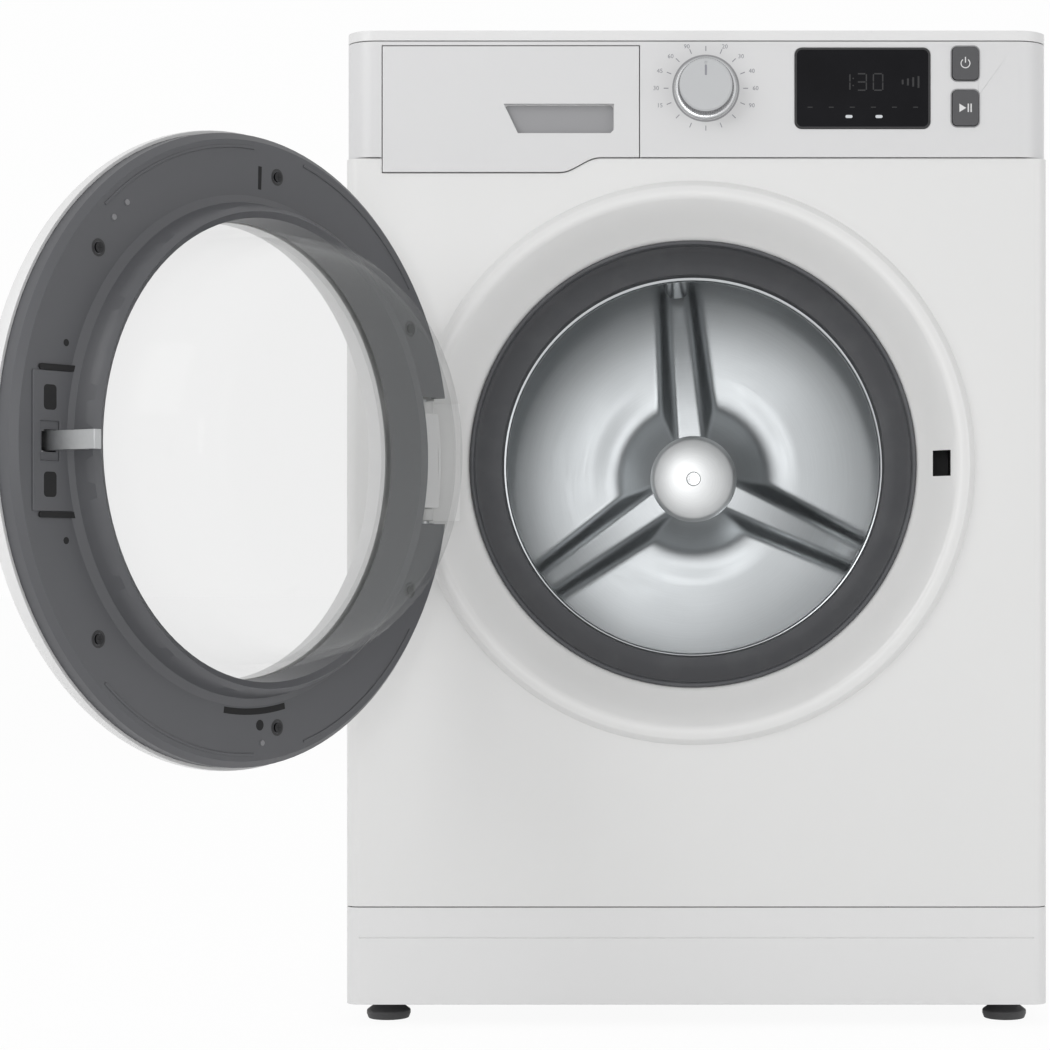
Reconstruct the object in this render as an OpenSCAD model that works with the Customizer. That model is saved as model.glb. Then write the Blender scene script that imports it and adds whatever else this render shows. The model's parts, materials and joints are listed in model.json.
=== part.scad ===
// Front load washing machine.
// Origin on the floor under the centre of the cabinet, +Z up, front towards -Y, +X to the right.
// Depths called d are measured from the plane of the front panel into the machine.

/* [Cabinet] */
// Width of the cabinet
body_w = 600; // [580:1:640]
// Depth of the cabinet without the door
body_d = 540; // [530:1:620]
// Height from the floor to the top of the worktop
body_h = 850; // [845:1:880]
// Thickness of the worktop lid
top_t = 8.5; // [6:0.5:14]
// Thickness of the steel sheet
sheet_t = 1; // [0.8:0.1:1.6]
// Depth of the front panel, fascia and kick panel along the sides
front_d = 30; // [28:1:40]
// Corner radius of the front panel and kick panel
front_r = 12; // [6:1:18]
// Corner radius of the fascia and worktop
fascia_r = 26; // [16:1:27]
// Height of the fascia
fascia_h = 98.7; // [96:0.1:104]
// How far the fascia stands proud of the front panel
fascia_proud = 2; // [1:0.5:3]
// Wall of the fascia and other plastic covers
plastic_t = 3; // [2.5:0.1:3.5]
// Height of the top edge of the kick panel
kick_top = 101; // [95:1:108]
// Visible gap between neighbouring panels
seam = 0.8; // [0.5:0.1:0.9]
// Width of the folded flanges of the side and rear panels
flange_w = 14; // [10:1:15]
// Height of the base above the floor
base_z = 18; // [16:1:24]
// Height of the walls of the base tray
base_h = 42; // [34:1:50]
// Height of the front rail
rail_h = 24; // [18:1:26]

/* [Feet] */
// Distance from the side of the cabinet to a foot
foot_in = 32; // [30:1:36]
// Distance from the front or back of the cabinet to a foot
foot_back = 47; // [42:1:60]
// Radius of a foot pad
pad_r = 19; // [16:1:21]
// Radius of a foot stem
stem_r = 5; // [4:0.5:6]
// Thickness of a foot locknut
nut_t = 5; // [4:0.5:6]

/* [Porthole] */
// Sideways place of the porthole centre
port_x = -3; // [-6:1:6]
// Height of the porthole centre
port_z = 481; // [476:1:486]
// Outer radius of the raised bead around the porthole
bead_r = 241; // [238:1:246]
// Height of the bead
bead_h = 8; // [6:0.5:8]
// Radius of the porthole in the front panel
port_r = 193; // [192:1:195]
// Depth of the cone that leads into the porthole
cone_d = 25; // [22:1:28]

/* [Drum and tub] */
// Outer radius of the drum
drum_r = 238; // [230:1:240]
// Space behind the drum for the tub, the pulley and the rear cover
drum_rear_space = 105; // [103:1:120]
// Depth of the front face of the drum
drum_d = 105; // [104:1:110]
// Radius of the drum mouth
drum_mouth_r = 166; // [160:1:168]
// Height of a drum lifter
lifter_h = 58; // [45:1:65]
// Radial gap between drum and tub
tub_gap = 12; // [11:0.5:13]
// Wall of the tub
tub_t = 4; // [3:0.5:5]
// Radius of the tub mouth
tub_mouth_r = 172; // [171:0.5:174]
// Radius of the drum shaft
shaft_r = 15; // [12:0.5:17]
// Outer radius of the bearings
bearing_r = 31; // [29:1:34]
// Radius of the drum pulley
pulley_r = 140; // [130:1:145]
// Radius of the motor pulley
motor_pulley_r = 10; // [9.5:0.5:12]
// Width of the belt
belt_w = 12; // [9:1:13]
// Radius of the motor
motor_r = 58; // [50:1:62]
// Length of the motor
motor_len = 150; // [120:1:160]
// Sideways place of the motor axis from the drum axis
motor_dx = 73; // [68:1:78]
// Drop of the motor axis under the drum axis
motor_dz = 343; // [340:1:348]
// Sideways place of the springs from the middle of the cabinet
spring_x = 215; // [210:1:218]
// Radius of a spring coil to the middle of the wire
spring_r = 12; // [9:1:13]
// Wire radius of the springs
wire_r = 1.8; // [1.4:0.1:2.2]
// Length of a damper between its pivots
damper_len = 208; // [202:1:212]
// Lean of a damper from the vertical in degrees
damper_lean = 17; // [14:0.5:19]
// Thickness of the front counterweight
front_weight_t = 27; // [20:1:29]
// Thickness of the top counterweight
top_weight_t = 55; // [40:1:60]

/* [Door] */
// Distance of the hinge axis from the porthole centre
hinge_r = 228; // [227:0.5:230]
// Distance of the hinge axis in front of the front panel
hinge_out = 30; // [29:0.5:32]
// Angle of the open door
door_open = 124; // [110:1:128]
// Radius of the rounded rim of the door
rim_r = 19.5; // [18:0.5:20]
// Wall of the outer ring of the door
ring_t = 2.5; // [2:0.1:3]
// Radius of the window in the door
window_r = 176; // [174:1:178]
// Depth of the glass bowl behind the window
bowl_d = 115; // [95:1:118]
// Radius of the bottom of the glass bowl
bowl_r = 126; // [110:1:132]
// Thickness of the glass
glass_t = 5; // [4:0.5:6]
// Gap between the back of the closed door and the bead
door_gap = 2; // [1.5:0.5:4]
// Height of the hinge bracket
hinge_h = 100; // [90:1:110]
// Radius of the hinge knuckles
knuckle_r = 9; // [7:0.5:9.5]
// Radius of the hinge pin
pin_r = 3.5; // [2.5:0.5:4]
// Distance of the latch hook from the porthole centre
latch_r = 211; // [208:1:213]
// Width of the latch hole
latch_w = 14; // [13:1:16]
// Height of the latch hole
latch_h = 22; // [20:1:26]

/* [Drawer] */
// Left edge of the drawer front
drawer_x0 = -268; // [-270:1:-262]
// Right edge of the drawer front
drawer_x1 = -49; // [-56:1:-44]
// Top edge of the drawer front below the top of the fascia
drawer_drop = 4; // [4:0.5:7]
// Thickness of the drawer front
drawer_t = 12; // [10:0.5:14]
// Drop of the lobe at the lower left of the drawer front
lobe_h = 12.7; // [8:0.1:14]
// Length of the drawer tray
tray_len = 232; // [200:1:236]
// Height of the drawer tray
tray_h = 66; // [56:1:67]
// Wall of the drawer tray
tray_t = 2; // [1.5:0.1:2.5]
// Height of the finger recess
grip_h = 25; // [20:1:28]
// Width of the finger recess
grip_w = 94; // [80:1:100]
// Running clearance of the drawer tray
tray_gap = 1.5; // [1:0.1:2]

/* [Controls] */
// Sideways place of the programme knob
knob_x = 8; // [4:1:14]
// Radius of the programme knob
knob_r = 26.5; // [22:0.5:28]
// How far the programme knob stands out
knob_h = 19; // [14:1:24]
// Left edge of the display
display_x = 84; // [80:1:88]
// Width of the display
display_w = 115.5; // [100:0.5:118]
// Height of the display
display_h = 69; // [60:1:72]
// Sideways place of the buttons
button_x = 229.5; // [226:0.5:234]
// Width of a button
button_w = 22; // [18:0.5:24]
// Height of the lower button
button_h = 30; // [24:0.5:31]
// Travel of a button
button_travel = 1.5; // [1:0.1:1.8]

/* [Water parts] */
// Radius of the drain pump housing
pump_r = 38; // [34:1:40]
// Sideways place of the pump
pump_x = 200; // [194:1:204]
// Radius of the drain outlet
drain_r = 10.5; // [9:0.5:12]
// Radius of the water inlet thread
inlet_r = 13.2; // [12.5:0.1:14]
// Drop of the water inlet under the top of the side panels
inlet_drop = 44.5; // [42:0.5:50]
// Sideways place of the water inlet
inlet_x = -170; // [-176:1:-150]
// Radius of the hose from the sump to the pump
sump_hose_r = 20; // [17:1:21]

/* [Hidden] */
$fn = 96;
eps = 0.01;
// Running fit of a shaft in its bore
fit = 0.05;
// Clearance between pieces that pass each other
clear = 0.4;
front_y = -body_d / 2;
half_w = body_w / 2;
cab_top = body_h - top_t;
inlet_z = cab_top - inlet_drop;
fascia_top = cab_top - seam;
fascia_z = fascia_top - fascia_h;
panel_top = fascia_z - seam;
panel_z = kick_top + seam;
side_d = front_d + seam;
base_floor = base_z + sheet_t;
base_t = 3;
base_d = plastic_t;
rear_face = body_d - sheet_t - clear;

drum_len = body_d - drum_d - drum_rear_space;
tub_in = drum_r + tub_gap;
tub_out = tub_in + tub_t;
drum_back = drum_d + drum_len;
tub_front_d = drum_d - 17;
tub_seam_d = tub_front_d + 162;
tub_back_d = drum_back + 20;
tub_rim = 8;
hub_d = tub_back_d + tub_t + 32;
hub_r = bearing_r + 14;
bearing_w = 12;
bearing_gap = 4;
pulley_d = hub_d + 5;
pulley_w = belt_w + 2;
spider_t = 10;
motor_x = port_x + motor_dx;
motor_z = port_z - motor_dz;
motor_back = hub_d - 20;
arm_angles = [-25, 95, 215];

hinge_x = port_x - hinge_r;
hinge_y = front_y - hinge_out;
door_back = -bead_h - door_gap;
rim_d = -hinge_out;
ring_out = hinge_r + rim_r;
flange_d = rim_d + 2.3;
lug_t = 10;
lug_w = 2 * knuckle_r - 6;
bracket_t = door_gap;
knuckle_gap = 0.5;
knuckle_h = hinge_h - 2 * lug_t - 2 * knuckle_gap;
latch_x = port_x + latch_r;
hook_w = 7;
hook_h = 14;
hook_pin_d = door_back - 8;
hook_pin_r = 2.5;

drawer_top = fascia_top - drawer_drop;
lobe_z = fascia_z - lobe_h;
pocket_d = drawer_t - fascia_proud + 1;
tray_x0 = drawer_x0 + 21;
tray_x1 = drawer_x1 - 14;
tray_z = drawer_top - tray_h - 8;
housing_t = 2.5;
housing_z = tray_z - tray_gap - housing_t;
tray_d = 8 - fascia_proud;
tray_end = tray_d + tray_len;
housing_end = tray_end + 10;
wall_a = tray_x0 + 84;
wall_b = wall_a + 46;
siphon_x = (wall_a + wall_b + tray_t) / 2;
siphon_top = tray_z + 31;
runner_gap = 0.3;
display_z = fascia_top - 5.5 - display_h;
button_z1 = fascia_top - 4 - 15;
button_z2 = button_z1 - 38;
knob_z = fascia_top - 40;
control_fit = 0.5;
spout_x = -155;
spout_d = tub_front_d + 122;
spout_r = 14;

damper_d = tub_seam_d - 20;
damper_z = base_floor + base_t + 31;
damper_top_x = 150;
damper_foot_x = damper_top_x + damper_len * sin(damper_lean);
damper_top_z = damper_z + damper_len * cos(damper_lean);
damper_pin_r = 5;
damper_eye_r = 10;
damper_tube_r = 13;
damper_rod_r = 8;
damper_eye_w = 16;
spring_d = tub_seam_d + 50;
spring_top = cab_top - 28;
spring_low = spring_top - 160;
spring_turns = 12;

pump_z = base_floor + base_t + pump_r + 6;
pump_d = 14;
pump_len = 80;
filter_r = 30;
outlet_x = 245;
outlet_z = 150;
sump_z = port_z - tub_out - 20;
sump_x = -20;
sump_spout_d = tub_seam_d + 40;
kick_line_z = 75;

// ---- Helpers ----

function fy(d) = front_y + d;
function unit(v) = v / norm(v);
function right_of(v) = [v[1], -v[0]];

// Corner normal of a line of points, stretched so that an offset keeps its thickness
function corner_normal(line, i) =
    let (last = len(line) - 1)
    let (before = i > 0 ? unit(line[i] - line[i - 1]) : unit(line[1] - line[0]))
    let (after = i < last ? unit(line[i + 1] - line[i]) : before)
    let (n = unit(right_of(before) + right_of(after)))
    n / (n * right_of(after));

// Closed outline of a wall of thickness t along a line; positive t lies to the right of travel
function wall_line(line, t) =
    concat(line, [for (i = [len(line) - 1 : -1 : 0]) line[i] + t * corner_normal(line, i)]);

// Arc of points from angle a0 to a1
function arc_line(centre, r, a0, a1, steps) =
    [for (i = [0 : steps]) centre + r * [cos(a0 + (a1 - a0) * i / steps),
                                         sin(a0 + (a1 - a0) * i / steps)]];

// Local Z along the depth, local X along X, origin on the porthole axis at depth d
module on_port_axis(d = 0) {
    translate([port_x, fy(d), port_z])
        rotate([-90, 0, 0])
            children();
}

// Turns children around the porthole axis; the angle grows from +X towards +Z
module at_port_angle(angle, d = 0) {
    on_port_axis(d)
        rotate([0, 0, -angle])
            children();
}

// Wall of revolution around the porthole axis from a line of [radius, depth] points
module port_wall(line, t) {
    on_port_axis()
        rotate_extrude()
            polygon(wall_line(line, t));
}

// Plate drawn in X and Z, extruded from depth d0 to depth d1
module upright(d0, d1) {
    translate([0, fy(d1), 0])
        rotate([90, 0, 0])
            linear_extrude(d1 - d0)
                children();
}

// Box given by its X, depth and Z limits
module limits_box(x0, x1, d0, d1, z0, z1) {
    translate([x0, fy(d0), z0])
        cube([x1 - x0, d1 - d0, z1 - z0]);
}

// Rectangle with round corners around a centre
module round_plate(w, h, r) {
    square([w - 2 * r, h], center = true);
    square([w, h - 2 * r], center = true);
    for (sx = [-1, 1], sy = [-1, 1])
        translate([sx * (w / 2 - r), sy * (h / 2 - r)])
            circle(r);
}

// Plan of a panel with round front corners; its front edge lies on y = 0
module front_plan(w, depth, r) {
    translate([-w / 2, r])
        square([w, depth - r]);
    translate([-w / 2 + r, 0])
        square([w - 2 * r, depth]);
    intersection() {
        for (s = [-1, 1])
            translate([s * (w / 2 - r), r])
                circle(r);
        translate([-w / 2, 0])
            square([w, depth]);
    }
}

// Plan of a sheet that wraps round the two front corners
module front_channel(w, depth, r, t) {
    difference() {
        front_plan(w, depth, r);
        translate([0, t])
            front_plan(w - 2 * t, depth, r - t);
    }
}

// Round bar along the depth
module depth_bar(x, z, r, d0, d1) {
    translate([x, fy(d0), z])
        rotate([-90, 0, 0])
            cylinder(r = r, h = d1 - d0);
}

// Point on a smooth curve through four neighbouring route points
function route_point(p, i, t) =
    let (n = len(p) - 1)
    let (a = p[max(i - 1, 0)], b = p[i], c = p[i + 1], e = p[min(i + 2, n)])
    0.5 * (2 * b + (c - a) * t + (2 * a - 5 * b + 4 * c - e) * t * t
        + (3 * b - a - 3 * c + e) * t * t * t);
function route(p, steps) =
    concat([for (i = [0 : len(p) - 2], k = [0 : steps - 1]) route_point(p, i, k / steps)],
        [p[len(p) - 1]]);
function heading(p, i) = unit(p[min(i + 1, len(p) - 1)] - p[max(i - 1, 0)]);

// Solid hose swept along a route; side is a direction never parallel to the route
module hose(points, r, side, sides = 10) {
    rings = [for (i = [0 : len(points) - 1])
        let (t = heading(points, i), u = unit(cross(t, side)), v = cross(t, u))
        [for (k = [0 : sides - 1])
            points[i] + r * (cos(k * 360 / sides) * u + sin(k * 360 / sides) * v)]];
    flat = [for (ring = rings) each ring];
    last = len(points) - 1;
    walls = [for (i = [0 : last - 1], k = [0 : sides - 1])
        let (a = i * sides + k, b = i * sides + (k + 1) % sides)
        each [[a, b, b + sides], [a, b + sides, a + sides]]];
    start_cap = [for (k = [sides - 1 : -1 : 0]) k];
    end_cap = [for (k = [0 : sides - 1]) last * sides + k];
    polyhedron(flat, concat(walls, [start_cap, end_cap]));
}

// Door pieces are drawn closed and swung open around the hinge axis
module door_pose() {
    translate([hinge_x, hinge_y, 0])
        rotate([0, 0, -door_open])
            translate([-hinge_x, -hinge_y, 0])
                children();
}

// ---- Cabinet ----

module foot_places() {
    for (sx = [-1, 1], sy = [-1, 1])
        translate([sx * (half_w - foot_in), sy * (body_d / 2 - foot_back), 0])
            children();
}

module base_tray() {
    wide = half_w - plastic_t - clear;
    deep = rear_face - base_d;
    color("dimgray")
        difference() {
            union() {
                difference() {
                    translate([0, fy(base_d), base_floor])
                        linear_extrude(base_h)
                            front_plan(2 * wide, deep, front_r);
                    translate([0, fy(base_d + base_t), base_floor + base_t])
                        linear_extrude(base_h)
                            front_plan(2 * (wide - base_t), deep - 2 * base_t, front_r - base_t);
                    limits_box(pump_x - filter_r - 12, pump_x + filter_r + 12, base_d - 1,
                        base_d + base_t + 1,
                        base_floor + base_t, base_floor + base_h + 1);
                }
                foot_places()
                    translate([0, 0, base_floor])
                        cylinder(r = stem_r + 9, h = 16);
                for (share = [0.28, 0.74])
                    limits_box(-wide + 1, wide - 1, share * body_d, share * body_d + base_t,
                        base_floor, base_floor + 14);
                for (s = [-1, 1])
                    damper_foot(s);
            }
            foot_places()
                translate([0, 0, base_floor - 1])
                    cylinder(r = stem_r + fit, h = 30);
        }
}

// Two lugs and a pin that carry the lower eye of a damper
module damper_foot(s) {
    gap = damper_eye_w / 2 + clear;
    x = s * damper_foot_x;
    for (side = [-1, 1])
        limits_box(x - 14, x + 14, damper_d + side * (gap + 2.5) - 2.5,
            damper_d + side * (gap + 2.5) + 2.5, base_floor, damper_z + 9);
    depth_bar(x, damper_z, damper_pin_r, damper_d - gap - 5, damper_d + gap + 5);
}

// Folded side panel with the hanger for its tub spring; s is -1 for left and 1 for right
module side_panel(s) {
    x_in = half_w - flange_w;
    mirror([s < 0 ? 1 : 0, 0, 0]) {
        difference() {
            limits_box(x_in, half_w, side_d, body_d, base_z, cab_top);
            limits_box(x_in - 1, half_w - sheet_t, side_d + sheet_t, body_d - sheet_t,
                base_floor, cab_top - sheet_t);
            // The front flange ends above the base tray
            limits_box(x_in - 1, half_w - sheet_t, side_d - 1, body_d - sheet_t,
                base_floor, base_floor + base_h + 1);
        }
        difference() {
            limits_box(spring_x - 12, half_w - sheet_t / 2, spring_d - 22, spring_d + 22,
                spring_top, spring_top + 14);
            limits_box(spring_x - 13, half_w - sheet_t, spring_d - 20, spring_d + 20,
                spring_top + 2.5, spring_top + 15);
        }
    }
}

module left_side_panel() {
    color("gainsboro")
        side_panel(-1);
}

module right_side_panel() {
    color("gainsboro")
        side_panel(1);
}

rear_x = half_w - sheet_t - clear;
cover_w = 330;
cover_h = 400;
cover_z = port_z - 20;
cover_r = 24;
transit_x = 205;
transit_z = [port_z - 150, port_z + 150];
transit_r = 15;

module rear_panel() {
    color("silver")
        difference() {
            union() {
                limits_box(-rear_x, rear_x, rear_face - sheet_t, rear_face, base_floor + base_h + 1,
                    cab_top - sheet_t - clear);
                limits_box(-rear_x + flange_w, rear_x - flange_w, rear_face - sheet_t, rear_face,
                    cab_top - 20, cab_top);
                limits_box(-rear_x + flange_w, rear_x - flange_w, body_d - flange_w, rear_face,
                    cab_top - sheet_t, cab_top);
            }
            upright(body_d - 40, body_d + 10)
                translate([port_x, cover_z])
                    round_plate(cover_w - 24, cover_h - 24, cover_r);
            depth_bar(inlet_x, inlet_z, inlet_r + 2, body_d - 40, body_d + 10);
            depth_bar(outlet_x, outlet_z, drain_r + 3, body_d - 40, body_d + 10);
            depth_bar(-outlet_x, outlet_z, 9, body_d - 40, body_d + 10);
            for (sx = [-1, 1], z = transit_z)
                depth_bar(port_x + sx * transit_x, z, transit_r - 3, body_d - 40, body_d + 10);
        }
}

module rear_cover() {
    color("silver")
        difference() {
            union() {
                upright(rear_face, rear_face + sheet_t)
                    translate([port_x, cover_z])
                        round_plate(cover_w, cover_h, cover_r);
                for (k = [-2 : 2])
                    upright(rear_face + sheet_t / 2, rear_face + 3)
                        translate([port_x + k * 50, cover_z])
                            round_plate(16, cover_h - 90, 7.9);
            }
            cover_screw_places()
                cylinder(r = 2 + fit, h = 20, center = true);
        }
}

module cover_screw_places() {
    for (sx = [-1, 1], sz = [-1, 0, 1])
        translate([port_x + sx * (cover_w / 2 - 7), fy(rear_face + sheet_t),
            cover_z + sz * (cover_h / 2 - 30)])
            rotate([-90, 0, 0])
                children();
}

// Screws of the rear cover and of the worktop
module cabinet_screws() {
    color("lightgray") {
        cover_screw_places()
            cylinder(r = 4, h = 2);
        for (sx = [-1, 1])
            depth_bar(sx * (half_w - 60), body_h - top_t - 9, 4, rear_face, rear_face + 2);
    }
}

// Section of the bead and cone around the porthole, from the outside inwards
bead_profile = concat(
    [[bead_r + 6, 0], [bead_r, 0]],
    [[bead_r - 2, -bead_h * 0.5], [bead_r - 5, -bead_h * 0.9], [bead_r - 8, -bead_h]],
    [[bead_r - 13, -bead_h], [bead_r - 17, -bead_h * 0.8]],
    [[port_r + 4, cone_d - 3], [port_r, cone_d], [port_r, cone_d + 6]]);

module latch_window(grow, d0, d1) {
    limits_box(latch_x - 5 - grow, latch_x - 5 + latch_w + grow, d0, d1,
        port_z - latch_h / 2 - grow, port_z + latch_h / 2 + grow);
}

module front_panel() {
    color("whitesmoke")
        difference() {
            union() {
                difference() {
                    translate([0, front_y, panel_z])
                        linear_extrude(panel_top - panel_z)
                            front_channel(body_w, front_d, front_r, sheet_t);
                    on_port_axis(-1)
                        cylinder(r = bead_r + 3, h = sheet_t + 2);
                    upright(-1, front_d)
                        drawer_outline(seam);
                }
                port_wall(bead_profile, sheet_t);
                limits_box(drawer_x1 + seam + 2, half_w - front_r, 0, front_d - 8,
                    panel_top - sheet_t, panel_top);
            }
            latch_window(0, -12, cone_d + 10);
        }
}

module kick_panel() {
    color("whitesmoke")
        difference() {
            translate([0, front_y, base_z])
                linear_extrude(kick_top - base_z)
                    front_channel(body_w, front_d, front_r, plastic_t - 0.5);
            limits_box(-half_w + front_r, half_w - front_r, -1, 0.7, kick_line_z - 0.6, kick_line_z + 0.6);
        }
}

rail_d = side_d + sheet_t;
rail_z = lobe_z - 3 - rail_h;

module front_rail() {
    wide = half_w - sheet_t;
    color("silver")
        difference() {
            limits_box(-wide, wide, rail_d, rail_d + 20, rail_z, rail_z + rail_h);
            limits_box(-wide - 1, wide + 1, rail_d + 1.5, rail_d + 21, rail_z + 1.5, rail_z + rail_h - 1.5);
        }
}

module worktop() {
    color("whitesmoke")
        difference() {
            translate([0, fy(-fascia_proud), cab_top])
                linear_extrude(top_t)
                    front_plan(body_w, body_d + fascia_proud, fascia_r);
            translate([0, fy(-fascia_proud + 4), cab_top - 1])
                linear_extrude(top_t - 4 + 1)
                    worktop_hollows();
        }
}

// Pockets under the worktop lid, between its edge and its ribs
module worktop_hollows() {
    cols = 3;
    rows = 2;
    cell_w = (body_w - 60) / cols;
    cell_d = (body_d - 110) / rows;
    for (c = [0 : cols - 1], r = [0 : rows - 1])
        translate([-body_w / 2 + 30 + c * cell_w + 3, 60 + r * cell_d])
            square([cell_w - 6, cell_d - 6]);
}

// ---- Controls ----

// Front view of the detergent drawer with the lobe at its lower left, grown by g
module drawer_outline(g) {
    x_a = drawer_x1 - 68;
    x_b = drawer_x1 - 33;
    steps = 10;
    polygon(concat(
        [[drawer_x0 - g, lobe_z - g]],
        [for (i = [0 : steps])
            [x_a + (x_b - x_a) * i / steps, lobe_z - g + lobe_h * (1 - cos(180 * i / steps)) / 2]],
        [[drawer_x1 + g, fascia_z - g], [drawer_x1 + g, drawer_top + g],
            [drawer_x0 - g, drawer_top + g]]));
}

module button_window(z, h, grow, d0, d1) {
    upright(d0, d1)
        translate([button_x, z])
            round_plate(button_w + 2 * grow, h + 2 * grow, 4 + grow);
}

module display_place(grow, d0, d1) {
    upright(d0, d1)
        translate([display_x + display_w / 2, display_z + display_h / 2])
            round_plate(display_w + 2 * grow, display_h + 2 * grow, 6 + grow);
}

module control_fascia() {
    skin = -fascia_proud;
    color("white")
        difference() {
            union() {
                translate([0, fy(skin), fascia_z])
                    linear_extrude(fascia_top - fascia_z)
                        front_channel(body_w, front_d - skin, fascia_r, plastic_t);
                limits_box(drawer_x1 + seam, half_w - fascia_r, skin + 1, front_d - 8, fascia_z,
                    fascia_z + 2);
                upright(pocket_d, pocket_d + plastic_t)
                    drawer_outline(seam + 1.5);
                intersection() {
                    upright(skin + 1, pocket_d + 1)
                        drawer_outline(seam + 2);
                    limits_box(-half_w, half_w, skin, pocket_d + 1, fascia_z, fascia_top);
                }
                upright(sheet_t + 0.5, pocket_d + 1)
                    drawer_outline(seam + 1.5);
            }
            upright(skin - 1, pocket_d)
                drawer_outline(seam);
            limits_box(tray_x0 - 2 * tray_gap, tray_x1 + 2 * tray_gap, 0, 40,
                tray_z - 2 * tray_gap, drawer_top - 6);
            display_place(control_fit / 2, skin - 1, skin + 2.2);
            display_place(-6, skin - 1, 40);
            button_window(button_z1, 28, control_fit, skin - 1, 10);
            button_window(button_z2, button_h, control_fit, skin - 1, 10);
            depth_bar(knob_x, knob_z, 4 + fit, skin - 1, 40);
        }
}

module display_window() {
    color("black")
        display_place(0, -fascia_proud - 0.6, -fascia_proud + 2.2);
}

board_d = 14;

// Circuit board in its carrier, with the switches behind the buttons and the knob encoder
module control_board() {
    x0 = knob_x - 24;
    x1 = button_x + 26;
    z0 = fascia_z + 7;
    z1 = fascia_top - 4;
    back = -fascia_proud + plastic_t;
    color("darkgreen") {
        difference() {
            union() {
                limits_box(x0, x1, board_d, board_d + 1.6, z0, z1);
                limits_box(knob_x - 8, knob_x + 8, back + 1, board_d + 1.6, knob_z - 8, knob_z + 8);
                limits_box(display_x + 8, display_x + display_w - 8, 3, board_d + 0.1,
                    display_z + 8, display_z + display_h - 8);
                for (z = [button_z1, button_z2])
                    limits_box(button_x - 4, button_x + 4, board_d - 4, board_d + 0.1, z - 4, z + 4);
                for (x = [x0 + 44, x1 - 7])
                    limits_box(x - 3, x + 3, back, board_d + 0.1, z0 + 1, z0 + 7);
            }
            depth_bar(knob_x, knob_z, 3 + fit, 0, board_d + 10);
        }
    }
}

module programme_knob() {
    skin = -fascia_proud;
    grip_r = knob_r - 3;
    translate([knob_x, fy(skin), knob_z])
        rotate([90, 0, 0])
            color("gainsboro") {
                difference() {
                    union() {
                        translate([0, 0, 0.5])
                            cylinder(r = knob_r, h = 3.5);
                        translate([0, 0, 3.9])
                            cylinder(r1 = grip_r, r2 = grip_r - 1, h = knob_h - 4.9);
                        translate([0, 0, knob_h - 1.05])
                            cylinder(r1 = grip_r - 1, r2 = grip_r - 2.5, h = 1.05);
                    }
                    translate([0, grip_r - 5, knob_h - 0.6])
                        cylinder(r = 1.4, h = 2);
                }
                translate([0, 0, -board_d - skin + 2])
                    cylinder(r = 3, h = board_d + skin - 1);
            }
}

module button(z, h) {
    skin = -fascia_proud;
    color("dimgray") {
        button_window(z, h, 0, skin - button_travel - 0.4, skin + plastic_t + 1);
        upright(skin + plastic_t + 0.5, skin + plastic_t + 2)
            translate([button_x, z])
                square([button_w + 4, h - 6], center = true);
        limits_box(button_x - 2.5, button_x + 2.5, skin + plastic_t, board_d - 4 - button_travel - 0.3,
            z - 2.5, z + 2.5);
    }
}

module power_button() {
    button(button_z1, 28);
}

module start_button() {
    button(button_z2, button_h);
}

// ---- Detergent drawer ----

module drawer_front() {
    x_c = (drawer_x0 + drawer_x1) / 2 + 41;
    z_c = fascia_z + 33;
    back = drawer_t - fascia_proud;
    color("white")
        difference() {
            upright(-fascia_proud, back)
                drawer_outline(0);
            // Inside of the shell
            limits_box(drawer_x0 + 2.5, drawer_x1 - 2.5, tray_d, back + 1,
                fascia_z + 12, drawer_top - 2.5);
            // Finger recess with a slanted left end
            upright(-fascia_proud - 1, -fascia_proud + 6.5)
                polygon([[x_c - grip_w / 2, z_c + grip_h / 2], [x_c - grip_w / 2 + 12, z_c - grip_h / 2],
                    [x_c + grip_w / 2 - 3, z_c - grip_h / 2], [x_c + grip_w / 2, z_c - grip_h / 2 + 3],
                    [x_c + grip_w / 2, z_c + grip_h / 2]]);
        }
}

module drawer_tray() {
    floor_z = tray_z + 2;
    color("white")
        difference() {
            union() {
                difference() {
                    limits_box(tray_x0, tray_x1, tray_d, tray_end, tray_z, tray_z + tray_h);
                    tray_bay(tray_x0, wall_a, floor_z);
                    tray_bay(wall_a, wall_b, floor_z);
                    tray_bay(wall_b, tray_x1 - tray_t, floor_z);
                }
                translate([siphon_x, fy(tray_end - 45), tray_z + 1])
                    cylinder(r = 6, h = siphon_top - tray_z - 1);
            }
            translate([siphon_x, fy(tray_end - 45), tray_z - 1])
                cylinder(r = 4.5, h = siphon_top - tray_z + 2);
            // Flushing slots at the back of the two powder bays
            limits_box(tray_x0 + 12, wall_a - 10, tray_end - tray_t - 1, tray_end + 1,
                floor_z, floor_z + 20);
            limits_box(wall_b + 10, tray_x1 - 12, tray_end - tray_t - 1, tray_end + 1,
                floor_z, floor_z + 20);
        }
}

// Inside of one bay of the tray, from the wall that starts at x0
module tray_bay(x0, x1, floor_z) {
    limits_box(x0 + tray_t, x1, tray_d + tray_t, tray_end - tray_t, floor_z, tray_z + tray_h + 1);
}

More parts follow.
